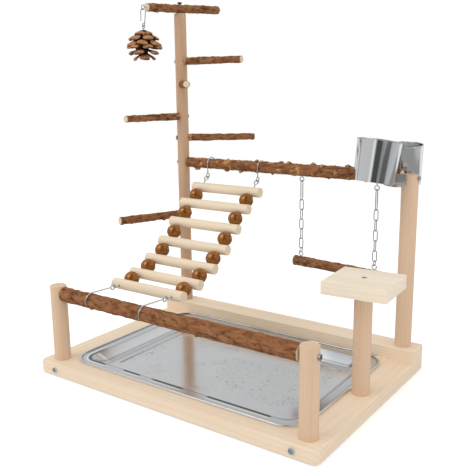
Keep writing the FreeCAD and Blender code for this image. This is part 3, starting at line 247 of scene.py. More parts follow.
def bark_group():
    """Plates, fissures and colour drift of bark, the same in all directions."""
    group, given, out = new_group(
        "bark relief",
        [("Vector", "NodeSocketVector", None), ("Plate Size", "NodeSocketFloat", 0.006)],
        [("Plates", "NodeSocketFloat"), ("Fissures", "NodeSocketFloat"), ("Drift", "NodeSocketFloat"),
         ("Height", "NodeSocketFloat")])
    place = given["Vector"]
    size = calc(group, "DIVIDE", 1.0, given["Plate Size"])
    noise = node(group, "ShaderNodeTexNoise", {"Vector": place, "Scale": 240.0, "Detail": 2.0})
    jitter = noise.outputs["Color"]
    shaken = vector_calc(group, "ADD", place, stretch(group, jitter, (0.004, 0.004, 0.004)))
    plates = remap(group, cloud(group, shaken, size, 4.0, 0.62), 0.32, 0.68)
    fissures = remap(group, cells(group, shaken, size, "DISTANCE_TO_EDGE"), 0.0, 0.10, 1.0, 0.0)
    drift = remap(group, cloud(group, place, 26.0, 3.0), 0.34, 0.66)
    height = calc(group, "SUBTRACT", plates, times(group, fissures, 0.6))
    for name, value in (("Plates", plates), ("Fissures", fissures), ("Drift", drift), ("Height", height)):
        feed(group, value, out[name])
    return group


def sheet_steel_group():
    """Fine rolling lines along X and the faint cloudiness of pressed stainless sheet."""
    group, given, out = new_group(
        "sheet steel",
        [("Vector", "NodeSocketVector", None)],
        [("Lines", "NodeSocketFloat"), ("Cloud", "NodeSocketFloat")])
    lines = cloud(group, stretch(group, given["Vector"], (18.0, 2600.0, 2600.0)), 1.0, 2.0, 0.6)
    haze = cloud(group, given["Vector"], 22.0, 3.0)
    feed(group, lines, out["Lines"])
    feed(group, haze, out["Cloud"])
    return group


# ---------------------------------------------------------------- materials

# radius of the tray's corners, and width of the band of painted shade and reflections along its edge
TRAY_CORNER = 0.036
TRAY_BAND = 0.05
# painted reflections along the front, dark and bright: start and end as shares of the band, and grey level
TRAY_PAINTED_REFLECTIONS = ((0.20, 0.27, 0.98), (0.27, 0.38, 0.03))
# painted shade across the tray's pressing, from its outer edge inwards, which leaves the rolled rim as a
# bright line: share of the band, and grey level
TRAY_PAINTED_SHADE_STEPS = ((0.0, 1.0), (0.05, 1.0), (0.08, 0.42), (0.12, 0.86), (0.32, 0.92), (0.36, 0.55), (0.42, 0.80),
              (0.60, 0.86), (0.66, 0.50), (0.70, 1.0), (0.80, 1.0))


class Finishes:
    """The shared patterns and the finished materials, made once."""

    def __init__(self, look):
        self.look = look
        self.grain = wood_grain_group()
        self.handling = handling_group()
        self.bark = bark_group()
        self.steel = sheet_steel_group()
        self.made = {}

    def timber(self, name, light, dark, turn=(0.0, 0.0, 0.0), pith=(0.05, 0.03, 0.0), spacing=0.005,
               wander=0.012, contrast=0.42, roughness=0.55, coat=0.0, metallic=0.0):
        """Bare or lacquered timber. turn lays the grain along Z and pith is the heart's place then."""
        if name in self.made:
            return self.made[name]
        material, tree, shader = new_material(name)
        place = object_place(tree)
        mapping = {"Vector": place, "Location": pith, "Rotation": turn}
        laid = node(tree, "ShaderNodeMapping", mapping).outputs[0]
        grain = use_group(tree, self.grain, {"Vector": laid, "Ring Spacing": spacing, "Wander": wander})
        marks = use_group(tree, self.handling, {"Vector": place, "Patch Size": 0.07})
        tone = times(tree, grain["Rings"], contrast)
        colour = blend_colour(tree, tone, light, dark)
        streak = remap(tree, grain["Streaks"], 0.42, 0.78, 0.0, 0.35)
        colour = blend_colour(tree, streak, colour, dark)
        fibre = remap(tree, grain["Fibres"], 0.52, 0.74, 0.0, 0.13)
        colour = blend_colour(tree, fibre, colour, dimmed(dark, 0.74))
        patch = times(tree, marks["Patches"], 0.12)
        colour = blend_colour(tree, patch, colour, dimmed(dark, 0.94))
        feed(tree, colour, shader.inputs["Base Color"])
        rough = remap(tree, grain["Fibres"], 0.2, 0.8, roughness - 0.06, roughness + 0.10)
        feed(tree, rough, shader.inputs["Roughness"])
        feed(tree, bump(tree, grain["Height"], 0.22, 0.00025), shader.inputs["Normal"])
        shader.inputs["Specular IOR Level"].default_value = 0.35
        if coat:
            shader.inputs["Coat Weight"].default_value = coat
            shader.inputs["Coat Roughness"].default_value = 0.10
        shader.inputs["Metallic"].default_value = metallic
        self.made[name] = material
        return material

    def bark_wood(self, name, dark, light, tan):
        """Bark with worn tan knobs and pale sawn ends, placed by the branch's own attributes."""
        if name in self.made:
            return self.made[name]
        material, tree, shader = new_material(name)
        place = attribute(tree, "along", "Vector")
        bark = use_group(tree, self.bark, {"Vector": place, "Plate Size": self.look.bark_plate})
        middle = [a * 0.45 + b * 0.55 for a, b in zip(dark, light)]
        colour = ramp(tree, bark["Plates"], [(0.0, dark), (0.38, middle), (1.0, light)])
        drift = times(tree, bark["Drift"], 0.45)
        colour = blend_colour(tree, drift, colour, [middle[0] * 1.12, middle[1] * 0.92, middle[2] * 0.84])
        colour = blend_colour(tree, times(tree, bark["Fissures"], 0.25), colour, dark)
        streaks = cloud(tree, stretch(tree, place, (420.0, 420.0, 80.0)), 1.0, 3.0, 0.6)
        colour = blend_colour(tree, remap(tree, streaks, 0.48, 0.70, 0.0, 0.32), colour, light)
        # painted shade in the sunken folds of the bark
        painted_fold_shade = attribute(tree, "painted_fold_shade")
        colour = blend_colour(tree, times(tree, painted_fold_shade, 0.5), colour, dimmed(dark, 0.7))
        knob = attribute(tree, "knob")
        ragged = calc(tree, "ADD", knob, calc(tree, "MULTIPLY",
                                              calc(tree, "SUBTRACT", bark["Plates"], 0.5), 0.7))
        worn = remap(tree, ragged, 0.45, 0.85)
        fleck = cloud(tree, place, 420.0, 2.0)
        tan_colour = ramp(tree, fleck, [(0.3, dimmed(tan, 0.72)), (0.7, tan)])
        colour = blend_colour(tree, times(tree, worn, 0.85), colour, tan_colour)
        cut = attribute(tree, "cut")
        share = attribute(tree, "share")
        wavy = calc(tree, "ADD", share, times(tree, cloud(tree, place, 160.0, 2.0), 0.12))
        rings = calc(tree, "FRACT", times(tree, wavy, 6.0))
        pale = self.look.sawn_colour[:3]
        sawn = ramp(tree, rings, [(0.0, pale), (0.75, dimmed(pale, 0.86)), (1.0, pale)])
        colour = blend_colour(tree, cut, colour, sawn)
        feed(tree, colour, shader.inputs["Base Color"])
        rough = remap(tree, bark["Plates"], 0.0, 1.0, 0.86, 0.66)
        feed(tree, rough, shader.inputs["Roughness"])
        whole = calc(tree, "SUBTRACT", 1.0, cut)
        grit = times(tree, cloud(tree, place, 900.0, 2.0), 0.4)
        relief = times(tree, calc(tree, "ADD", bark["Height"], grit), whole)
        feed(tree, bump(tree, relief, 0.6, 0.0007), shader.inputs["Normal"])
        shader.inputs["Specular IOR Level"].default_value = 0.12
        self.made[name] = material
        return material

    def metal(self, name, colour, roughness, lines=0.3, dapple=0.0, drops=False):
        """Stainless steel or wire: rolling lines, a faint haze, and where wanted droplets with painted shade
        on their rims and painted highlights in their middles, and the tray's painted shade and reflections.
        """
        if name in self.made:
            return self.made[name]
        material, tree, shader = new_material(name)
        place = object_place(tree)
        steel = use_group(tree, self.steel, {"Vector": place})
        marks = use_group(tree, self.handling, {"Vector": place, "Patch Size": 0.03})
        tone = times(tree, steel["Lines"], lines * 0.5)
        base = blend_colour(tree, tone, colour, dimmed(colour, 0.72))
        base = blend_colour(tree, times(tree, marks["Patches"], 0.10), base,
                            dimmed(colour, 0.8))
        height = times(tree, steel["Lines"], lines)
        if drops:
            drop = self.tray_drops(tree, place)
            # painted shade on the drops' rims, and a painted highlight in their middles
            rim = times(tree, drop, calc(tree, "SUBTRACT", 1.0, drop))
            base = blend_colour(tree, times(tree, rim, 3.2, clamp=True), base, dimmed(colour, 0.25))
            base = blend_colour(tree, remap(tree, drop, 0.75, 1.0), base, (0.95, 0.95, 0.95))
            base = self.tray_painted_light(tree, place, base)
            height = calc(tree, "ADD", height, times(tree, drop, 4.0))
        feed(tree, base, shader.inputs["Base Color"])
        rough = remap(tree, steel["Cloud"], 0.3, 0.7, roughness * 0.85, roughness * 1.2)
        feed(tree, rough, shader.inputs["Roughness"])
        if dapple:
            height = calc(tree, "ADD", height, times(tree, steel["Cloud"], dapple))
        feed(tree, bump(tree, height, 0.15, 0.0002), shader.inputs["Normal"])
        shader.inputs["Metallic"].default_value = 1.0
        self.made[name] = material
        return material

    def tray_drops(self, tree, place):
        """Large and small drops in loose patches, on the tray's floor only."""
        inside = self.tray_inside(tree, place)
        large = remap(tree, cells(tree, place, 190.0), 0.12, 0.26, 1.0, 0.0)
        small = remap(tree, cells(tree, place, 420.0), 0.10, 0.26, 1.0, 0.0)
        where = remap(tree, cloud(tree, place, 13.0, 3.0), 0.46, 0.60)
        return times(tree, calc(tree, "MAXIMUM", large, small), times(tree, where, inside))

    def tray_painted_light(self, tree, place, base):
        """Painted light on the tray: painted shade at the steps of the pressing, which leaves the rolled rim
        as a bright line, and dark and bright painted reflections along the front slope.
        """
        low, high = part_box("tray")
        middle = Vector([(a + b) / 2 for a, b in zip(low, high)])
        inner = ((high[0] - low[0]) / 2 - TRAY_CORNER, (high[1] - low[1]) / 2 - TRAY_CORNER, 1.0)
        apart = vector_calc(tree, "SUBTRACT", place, middle)
        beyond = vector_calc(tree, "SUBTRACT", vector_calc(tree, "ABSOLUTE", apart, (0, 0, 0)), inner)
        parts = split(tree, beyond)
        flat = node(tree, "ShaderNodeCombineXYZ", {0: calc(tree, "MAXIMUM", parts[0], 0.0),
                                                   1: calc(tree, "MAXIMUM", parts[1], 0.0)}).outputs[0]
        outside = node(tree, "ShaderNodeVectorMath", {0: flat}, operation="LENGTH").outputs["Value"]
        within = calc(tree, "MINIMUM", calc(tree, "MAXIMUM", parts[0], parts[1]), 0.0)
        inwards = calc(tree, "SUBTRACT", TRAY_CORNER, calc(tree, "ADD", outside, within))
        share = calc(tree, "DIVIDE", inwards, TRAY_BAND)
        # painted shade bands, multiplied into the metal's colour
        shade = ramp(tree, share, [(at, (grey, grey, grey)) for at, grey in TRAY_PAINTED_SHADE_STEPS])
        base = blend_colour(tree, 1.0, base, shade, "MULTIPLY")
        # painted reflections: dark and bright broken lines along the bend of the front slope, on the front
        # side only
        near = remap(tree, split(tree, apart)[1], -inner[1] * 0.9, -inner[1] * 0.6, 1.0, 0.0)
        reflection_streak_pattern = remap(tree, cloud(tree, stretch(tree, place, (13.0, 0.0, 0.0)), 1.0, 1.0), 0.47, 0.50)
        painted_reflection_streaks = times(tree, near, reflection_streak_pattern)
        for start, end, grey in TRAY_PAINTED_REFLECTIONS:
            band = times(tree, remap(tree, share, start, start + 0.02),
                        remap(tree, share, end - 0.02, end, 1.0, 0.0))
            share_here = times(tree, times(tree, painted_reflection_streaks, band), 0.85)
            base = blend_colour(tree, share_here, base, (grey, grey, grey))
        return base

    def tray_inside(self, tree, place):
        """One over the tray's flat floor, falling off towards its walls."""
        low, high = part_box("tray")
        middle = [(a + b) / 2 for a, b in zip(low, high)]
        apart = vector_calc(tree, "SUBTRACT", place, middle)
        parts = split(tree, vector_calc(tree, "ABSOLUTE", apart, (0, 0, 0)))
        sides = [remap(tree, part, half - 0.060, half - 0.045, 1.0, 0.0) for part, half in zip(
            parts[:2], ((high[0] - low[0]) / 2, (high[1] - low[1]) / 2))]
        return times(tree, *sides)

    def rubber(self):
        if "foot rubber" in self.made:
            return self.made["foot rubber"]
        material, tree, shader = new_material("foot rubber")
        place = object_place(tree)
        marks = use_group(tree, self.handling, {"Vector": place, "Patch Size": 0.006})
        colour = blend_colour(tree, marks["Patches"], (0.025, 0.025, 0.026), (0.06, 0.058, 0.055))
        feed(tree, colour, shader.inputs["Base Color"])
        feed(tree, remap(tree, marks["Patches"], 0.0, 1.0, 0.6, 0.8), shader.inputs["Roughness"])
        feed(tree, bump(tree, cloud(tree, place, 1400.0, 2.0), 0.3, 0.0002), shader.inputs["Normal"])
        self.made["foot rubber"] = material
        return material

    def cone_wood(self):
        """Pine cone scales: dark and dull inside, tan and cracked on the thick outer ends, with painted shade
        on their undersides.
        """
        if "cone scales" in self.made:
            return self.made["cone scales"]
        material, tree, shader = new_material("cone scales")
        place = object_place(tree)
        tip = attribute(tree, "tip")
        bark = use_group(tree, self.bark, {"Vector": place, "Plate Size": 0.0035})
        deep = self.look.cone_inside[:3]
        inner = ramp(tree, bark["Plates"], [(0.0, dimmed(deep, 0.4)), (1.0, deep)])
        outer = ramp(tree, bark["Plates"], [(0.0, self.look.cone_dark[:3]), (0.6, self.look.cone_light[:3]),
                                            (1.0, dimmed(self.look.cone_light[:3], 1.12))])
        ragged = calc(tree, "ADD", tip, times(tree, calc(tree, "SUBTRACT", bark["Plates"], 0.5), 0.2))
        colour = blend_colour(tree, remap(tree, ragged, 0.55, 0.80), inner, outer)
        # painted shade on the scales' undersides, towards the dark inside colour
        under = attribute(tree, "under")
        colour = blend_colour(tree, times(tree, under, 0.8), colour, deep)
        point = remap(tree, tip, 0.95, 1.0)
        colour = blend_colour(tree, times(tree, point, 0.5), colour, self.look.cone_dark[:3])
        feed(tree, colour, shader.inputs["Base Color"])
        feed(tree, remap(tree, tip, 0.0, 1.0, 0.85, 0.62), shader.inputs["Roughness"])
        feed(tree, bump(tree, bark["Height"], 0.5, 0.0004), shader.inputs["Normal"])
        shader.inputs["Specular IOR Level"].default_value = 0.3
        self.made["cone scales"] = material
        return material


def finishes():
    """The one set of finishes that the operators share."""
    if not hasattr(finishes, "made"):
        finishes.made = Finishes(bpy.context.scene.stand_look)
    return finishes.made


# ---------------------------------------------------------------- object helpers

def clear_selection():
    for other in bpy.context.selected_objects:
        other.select_set(False)


def make_active(piece):
    clear_selection()
    piece.select_set(True)
    bpy.context.view_layer.objects.active = piece


def paint(name, material):
    """Give a carried-over node its finish."""
    slots = NODES[name].material_slots
    if not slots:
        NODES[name].data.materials.append(material)
    for number in range(len(slots)):
        slots[number].material = material


def dress(piece, name, material, body, slot, *replaced):
    """Name a new piece, give it its finish, and let it ride and stand for its nodes."""
    piece.name = name
    piece.data.name = name
    piece.data.materials.clear()
    piece.data.materials.append(material)
    if replaced:
        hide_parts(*replaced)
    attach(piece, body)


def body_of(node_name):
    for body, names in frame["record"]["behaviour"]["bodies"].items():
        if node_name in names:
            return body
    raise ValueError("no body holds " + node_name)


def copy_of(node_name):
    """A loose copy of a node's mesh with its doubled points merged."""
    mesh = NODES[node_name].data.copy()
    piece = bpy.data.objects.new(node_name + "_copy", mesh)
    bpy.context.scene.collection.objects.link(piece)
    make_active(piece)
    bpy.ops.object.mode_set(mode="EDIT")
    bpy.ops.mesh.select_all(action="SELECT")
    bpy.ops.mesh.remove_doubles(threshold=0.00002)
    bpy.ops.object.mode_set(mode="OBJECT")
    return piece


def apply_modifier(piece, kind, **settings):
    made = piece.modifiers.new(kind.lower(), kind)
    for name, value in settings.items():
        setattr(made, name, value)
    make_active(piece)
    bpy.ops.object.modifier_apply(modifier=made.name)


def shade_smooth(piece, degrees=None):
    make_active(piece)
    if degrees is None:
        bpy.ops.object.shade_smooth()
    else:
        bpy.ops.object.shade_smooth_by_angle(angle=math.radians(degrees))


def set_attribute(piece, name, values):
    made = piece.data.attributes.new(name, "FLOAT", "POINT")
    made.data.foreach_set("value", values)


def main_axis(piece):
    """The middle and the long direction of a slender mesh, by its spread."""
    points = [vertex.co for vertex in piece.data.vertices]
    middle = sum(points, Vector()) / len(points)
    direction = max((point - middle for point in points), key=lambda away: away.length).normalized()
    for _ in range(12):
        total = Vector()
        for point in points:
            away = point - middle
            total += away * away.dot(direction)
        direction = total.normalized()
    return middle, direction


# ---------------------------------------------------------------- settings

def colour_property(name, description, default):
    return FloatVectorProperty(name=name, description=description, default=(*default, 1.0), size=4,
                               min=0.0, max=1.0, subtype="COLOR")


def length_property(name, description, default, low, high):
    return FloatProperty(name=name, description=description, default=default, min=low, max=high,
                         subtype="DISTANCE", unit="LENGTH")


class StandLook(bpy.types.PropertyGroup):
    """Colours and small sizes of the stand's finishes."""

    pine_light: colour_property("Pine", "Early wood of the boards", (0.94, 0.79, 0.61))
    pine_dark: colour_property("Pine grain", "Late wood of the boards", (0.87, 0.67, 0.46))
    platform_light: colour_property("Platform", "Early wood of the platform", (0.96, 0.86, 0.71))
    platform_dark: colour_property("Platform grain", "Late wood of the platform", (0.90, 0.74, 0.55))
    post_light: colour_property("Posts", "Early wood of the round posts", (0.78, 0.57, 0.40))
    post_dark: colour_property("Post grain", "Late wood of the round posts", (0.70, 0.47, 0.31))
    # the mast's colours are the posts' beech darkened: painted shade
    mast_shaded_light: colour_property("Mast", "Early wood of the tall mast", (0.62, 0.41, 0.26))
    mast_shaded_dark: colour_property("Mast grain", "Late wood of the tall mast", (0.52, 0.32, 0.19))
    rung_light: colour_property("Rungs", "Pale wood of the ladder's rungs", (0.90, 0.77, 0.59))
    rung_dark: colour_property("Rung grain", "Grain of the ladder's rungs", (0.82, 0.65, 0.46))
    bead_light: colour_property("Beads", "Lacquered beads, lit side", (0.52, 0.210, 0.040))
    bead_dark: colour_property("Bead grain", "Grain of the beads", (0.17, 0.052, 0.012))
    bark_dark: colour_property("Bark hollows", "Dark parts of the bark", (0.085, 0.032, 0.014))
    bark_light: colour_property("Bark plates", "Raised parts of the bark", (0.40, 0.185, 0.080))
    knob_tan: colour_property("Knobs", "Worn tops of the knobs", (0.66, 0.37, 0.17))
    sawn_colour: colour_property("Sawn ends", "Pale wood at the perch ends", (0.80, 0.69, 0.50))
    swing_light: colour_property("Swing bark", "Raised parts of the swing perch", (0.40, 0.195, 0.090))
    cone_inside: colour_property("Cone inside", "Dark shaded parts of the scales", (0.055, 0.022, 0.013))
    cone_dark: colour_property("Cone cracks", "Dark parts of the scales' outer ends", (0.29, 0.115, 0.045))
    cone_light: colour_property("Cone ends", "Tan outer ends of the scales", (0.56, 0.265, 0.110))
    steel_colour: colour_property("Sheet steel", "Tray and cups", (0.66, 0.67, 0.68))
    wire_colour: colour_property("Wire", "Chains, hooks and eyes", (0.74, 0.74, 0.75))
    scale_width: length_property("Scale width", "Width of the cone's widest scales", 0.0205, 0.008, 0.03)
    scale_thickness: length_property("Scale thickness", "Thickness of a scale's outer end", 0.0062,
                                     0.002, 0.01)
    bark_plate: length_property("Bark plate", "Size of the bark's plates", 0.0055, 0.002, 0.02)
    bark_relief: length_property("Bark relief", "Depth of the bark's folds", 0.0025, 0.0, 0.004)
    branch_grid: length_property("Branch grid", "Mesh size of the bark perches", 0.0009, 0.0005, 0.003)


class StandStudio(bpy.types.PropertyGroup):
    """The stage, its lamps and the camera."""

    floor_size: length_property("Floor size", "Side of the pale floor", 3.0, 1.0, 20.0)
    key_power: FloatProperty(name="Key lamp", description="Power of the large lamp at the left",
                             default=9.0, min=0.0, max=200.0, unit="POWER")
    fill_power: FloatProperty(name="Fill lamp", description="Power of the large lamp at the right",
                              default=3.0, min=0.0, max=200.0, unit="POWER")
    sky_level: FloatProperty(name="Sky level", description="Level of the even light all round",
                             default=0.82, min=0.0, max=2.0, subtype="FACTOR")
    lens: FloatProperty(name="Lens", description="Focal length of the camera", default=CAMERA_LENS,
                        min=10.0, max=300.0, unit="CAMERA", subtype="DISTANCE_CAMERA")


# ---------------------------------------------------------------- pieces

class STAND_OT_boards(bpy.types.Operator):
    """Finish the pine boards of the base frame and the small platform"""

    bl_idname = "stand.boards"
    bl_label = "Boards"

    def execute(self, context):
        look = context.scene.stand_look
        pine = look.pine_light[:3], look.pine_dark[:3]
        pale = look.platform_light[:3], look.platform_dark[:3]
        along_x = (0.0, math.radians(90), 0.0)
        along_y = (math.radians(90), 0.0, 0.0)
        done = finishes()
        for name, label, tones, turn, pith, spacing in (
                ("front_rail", "front rail pine", pine, along_x, (0.016, 0.238, 0.0), 0.0062),
                ("back_rail", "back rail pine", pine, along_x, (0.060, -0.090, 0.0), 0.0050),
                ("left_board", "left board pine", pine, along_y, (0.250, 0.055, 0.0), 0.0068),
                ("right_board", "right board pine", pine, along_y, (-0.215, 0.045, 0.0), 0.0068),
                ("platform", "platform pine", pale, along_x, (0.12, 0.07, 0.0), 0.0075)):
            paint(name, done.timber(label, *tones, turn, pith, spacing))
        paint("foot_pads", done.rubber())
        return {"FINISHED"}


class STAND_OT_posts(bpy.types.Operator):
    """Finish the round posts and the tall mast"""

    bl_idname = "stand.posts"
    bl_label = "Posts and mast"

    def execute(self, context):
        look = context.scene.stand_look
        done = finishes()
        dowel = done.timber("dowel beech", look.post_light[:3], look.post_dark[:3], pith=(0.3, 0.1, 0.0),
                            spacing=0.0042, wander=0.02, contrast=0.35)
        for name in ("post_front_left", "post_front_right", "post_back_right", "platform_post"):
            paint(name, dowel)
        # painted shade: the mast gets a darker copy of the posts' beech, for the shade it stands in
        mast = done.timber("mast beech with painted shade", look.mast_shaded_light[:3], look.mast_shaded_dark[:3], pith=(0.19, -0.07, 0.0),
                           spacing=0.0040, wander=0.02, contrast=0.35)
        paint("mast", mast)
        return {"FINISHED"}


class STAND_OT_perches(bpy.types.Operator):
    """Grow the bark perches over their solids"""

    bl_idname = "stand.perches"
    bl_label = "Bark perches"

    def execute(self, context):
        look = context.scene.stand_look
        bark = finishes().bark_wood("perch bark", look.bark_dark[:3], look.bark_light[:3], look.knob_tan[:3])
        for seed, name in enumerate(BARK_PERCHES):
            piece = branch_over(name, look, seed)
            dress(piece, name + "_bark", bark, body_of(name), "bark", name)
        return {"FINISHED"}


# how a branch's mesh is read: slices along it, share of the points that lie under its skin, height
# over the skin where a knob begins and over which it is fully worn, and depth of its sawn ends
BRANCH_SLICES = 24
SKIN_SHARE = 0.30
KNOB_START = 0.0007
KNOB_RISE = 0.0011
CUT_DEPTH = 0.0016


def branch_over(name, look, seed):
    """A bark branch with the knobs, ends and thickness of a node's solid."""
    piece = copy_of(name)
    middle, direction = main_axis(piece)
    turn = direction.to_track_quat("Z", "Y").to_matrix().to_4x4()
    lay = Matrix.Translation(middle) @ turn
    piece.data.transform(lay.inverted())
    grid = look.branch_grid * 1.0
    apply_modifier(piece, "REMESH", mode="VOXEL", voxel_size=grid, use_smooth_shade=True)
    apply_modifier(piece, "SMOOTH", factor=0.5, iterations=3)
    points = [vertex.co.copy() for vertex in piece.data.vertices]
    normals = [vertex.normal.copy() for vertex in piece.data.vertices]
    low = min(point.z for point in points)
    high = max(point.z for point in points)
    # the branch's own middle line and radius along its length, by slices
    slices = BRANCH_SLICES
    belongs = [min(slices - 1, int((point.z - low) / (high - low) * slices)) for point in points]
    sums = [Vector() for _ in range(slices)]
    for point, at in zip(points, belongs):
        sums[at] += point
    heart = [total / max(1, belongs.count(at)) for at, total in enumerate(sums)]
    reach = [[] for _ in range(slices)]
    for point, at in zip(points, belongs):
        reach[at].append(math.hypot(point.x - heart[at].x, point.y - heart[at].y))
    radius = []
    for values in reach:
        values.sort()
        radius.append(values[int(len(values) * SKIN_SHARE)])
    knob, cut, share = [], [], []
    for point, normal, at in zip(points, normals, belongs):
        out = math.hypot(point.x - heart[at].x, point.y - heart[at].y)
        end = min(point.z - low, high - point.z)
        flat = abs(normal.z) > 0.72 and end < CUT_DEPTH
        knob.append(max(0.0, min(1.0, (out - radius[at] - KNOB_START) / KNOB_RISE)))
        cut.append(1.0 if flat else 0.0)
        share.append(out / max(radius[at], 0.001))
    set_attribute(piece, "knob", knob)
    set_attribute(piece, "cut", cut)
    set_attribute(piece, "share", share)
    along = piece.data.attributes.new("along", "FLOAT_VECTOR", "POINT")
    shift = seed * 0.31
    along.data.foreach_set("vector", [value for point in points
                                      for value in (point.x, point.y, point.z * 0.42 + shift)])
    skin = piece.vertex_groups.new(name="skin")
    for number, (point, masked) in enumerate(zip(points, cut)):
        end = min(point.z - low, high - point.z)
        skin.add([number], 0.0 if masked else min(1.0, end / 0.004), "REPLACE")
    # folds are drawn out along the branch
    piece.data.transform(Matrix.Translation((0, 0, seed * 0.37)) @ Matrix.Diagonal((1.0, 1.0, 0.4, 1.0)))
    for label, kind, size, depth in (("folds", "CLOUDS", 0.0060, 1.0), ("ridges", "STUCCI", 0.0030, 0.40)):
        texture = bpy.data.textures.new("%s %s" % (name, label), kind)
        texture.noise_scale = size
        apply_modifier(piece, "DISPLACE", texture=texture, texture_coords="LOCAL", mid_level=0.58,
                       strength=look.bark_relief * depth, vertex_group="skin")
        bpy.data.textures.remove(texture)
    piece.data.transform(Matrix.Diagonal((1.0, 1.0, 2.5, 1.0)) @ Matrix.Translation((0, 0, -seed * 0.37)))
    # painted shade: how deep the folds sank the skin, which darkens the bark there
    set_attribute(piece, "painted_fold_shade", [
        max(0.0, min(1.0, (before - now).dot(normal) / (look.bark_relief * 0.9) - 0.30))
        for before, normal, now in zip(points, normals, (vertex.co for vertex in piece.data.vertices))])
    piece.data.transform(lay)
    piece.vertex_groups.clear()
    shade_smooth(piece)
    return piece


class STAND_OT_ladder(bpy.types.Operator):
    """Finish the ladder: pale rungs, lacquered beads and bright wire"""

    bl_idname = "stand.ladder"
    bl_label = "Ladder"

    def execute(self, context):
        look = context.scene.stand_look
        done = finishes()
        for number, name in enumerate(RUNGS):
            rung = done.timber("rung wood %d" % (number % 3 + 1), look.rung_light[:3], look.rung_dark[:3],
                               (0.0, math.radians(90), 0.0), (0.05, 0.08 + 0.03 * (number % 3), 0.0),
                               0.0035, 0.01, 0.4)
            paint(name, rung)
        bead = done.timber("bead lacquer", look.bead_light[:3], look.bead_dark[:3], pith=(0.1, 0.05, 0.0),
                           spacing=0.0024, wander=0.006, contrast=0.75, roughness=0.27, coat=0.4,
                           metallic=0.8)
        for name in ("ladder_beads_left", "ladder_beads_right"):
            paint(name, bead)
        wire = done.metal("bright wire", look.wire_colour[:3], 0.2, 0.2)
        for name in ("ladder_wire_left", "ladder_wire_right", "ladder_hooks_top", "ladder_hooks_bottom"):
            paint(name, wire)
        return {"FINISHED"}


class STAND_OT_swing(bpy.types.Operator):
    """Finish the swing's chains and eyes, and grow its perch"""

    bl_idname = "stand.swing"
    bl_label = "Swing"

    def execute(self, context):
        look = context.scene.stand_look
        done = finishes()
        wire = done.metal("bright wire", look.wire_colour[:3], 0.2, 0.2)
        for name in ("swing_chain_left", "swing_chain_right", "swing_eyes", "swing_long_links",
                     "swing_rings", "swing_perch_eyes"):
            paint(name, wire)
        bark = done.bark_wood("swing bark", look.bark_dark[:3], look.swing_light[:3], look.knob_tan[:3])
        dress(branch_over("swing_perch", look, 11), "swing_perch_bark", bark, "swing_bar", "swing_wood",
              "swing_perch")
        return {"FINISHED"}


# rows of scales: level below the cone's top and reach, as shares of its height and radius, droop in
# degrees, number of scales
CONE_ROWS = ((0.02, 0.50, 24, 5), (0.06, 0.84, 28, 6), (0.20, 1.00, 24, 7), (0.42, 1.00, 14, 6),
             (0.58, 0.90, 18, 5), (0.68, 0.64, 32, 4))


# the spindle's level and radius, as shares of the cone's height and radius
SPINDLE = ((0.002, 0.10), (0.05, 0.20), (0.20, 0.27), (0.45, 0.30), (0.65, 0.24), (0.80, 0.15), (0.86, 0.05))


def drawn_out(name, sections):
    """A closed body drawn out of a ring: each section is (middle, half width, half thickness), along X."""
    first, width, depth = sections[0]
    clear_selection()
    bpy.ops.mesh.primitive_circle_add(vertices=10, radius=1.0, fill_type="NGON", location=first,
                                      rotation=(math.radians(90), 0.0, math.radians(90)))
    piece = bpy.context.active_object
    piece.name = name
    bpy.ops.object.mode_set(mode="EDIT")
    bpy.ops.mesh.select_all(action="SELECT")
    bpy.ops.transform.resize(value=(1.0, width, depth), center_override=first)
    for (before, old_width, old_depth), (middle, width, depth) in zip(sections, sections[1:]):
        step = [b - a for a, b in zip(before, middle)]
        bpy.ops.mesh.extrude_region_move(TRANSFORM_OT_translate={"value": step})
        bpy.ops.transform.resize(value=(1.0, width / old_width, depth / old_depth), center_override=middle)
    bpy.ops.mesh.select_all(action="SELECT")
    bpy.ops.mesh.normals_make_consistent(inside=False)
    bpy.ops.object.mode_set(mode="OBJECT")
    bpy.ops.object.transform_apply(location=True, rotation=True, scale=True)
    return piece


def cone_scale(look):
    """One woody scale along X, one long: a thin flat stalk, a broad back and a thick ridged end."""
    half = look.scale_width / 2
    thick = look.scale_thickness / 2
    reach = 0.030
    sections = [((0.0, 0.0, 0.0), half * 0.30, thick * 0.50),
                ((reach * 0.30, 0.0, thick * 0.1), half * 0.52, thick * 0.42),
                ((reach * 0.58, 0.0, thick * 0.2), half * 0.84, thick * 0.50),
                ((reach * 0.74, 0.0, thick * 0.1), half * 1.00, thick * 0.78),
                ((reach * 0.84, 0.0, -thick * 0.1), half * 0.97, thick * 1.02),
                ((reach * 0.92, 0.0, -thick * 0.2), half * 0.78, thick * 0.95),
                ((reach * 0.97, 0.0, -thick * 0.1), half * 0.50, thick * 0.66),
                ((reach * 1.0, 0.0, 0.0), half * 0.20, thick * 0.26)]
    piece = drawn_out("scale", sections)
    for vertex in piece.data.vertices:
        # the back is arched and the broad end curls down at its sides
        vertex.co.z -= (vertex.co.y / half) ** 2 * thick * 0.55
    apply_modifier(piece, "SUBSURF", levels=1, render_levels=1)
    set_attribute(piece, "tip", [vertex.co.x / reach for vertex in piece.data.vertices])
    # painted shade: where a scale's normal points down, its colour is darkened
    set_attribute(piece, "under", [max(0.0, min(1.0, 0.3 - 1.6 * vertex.normal.z))
                                   for vertex in piece.data.vertices])
    return piece, reach


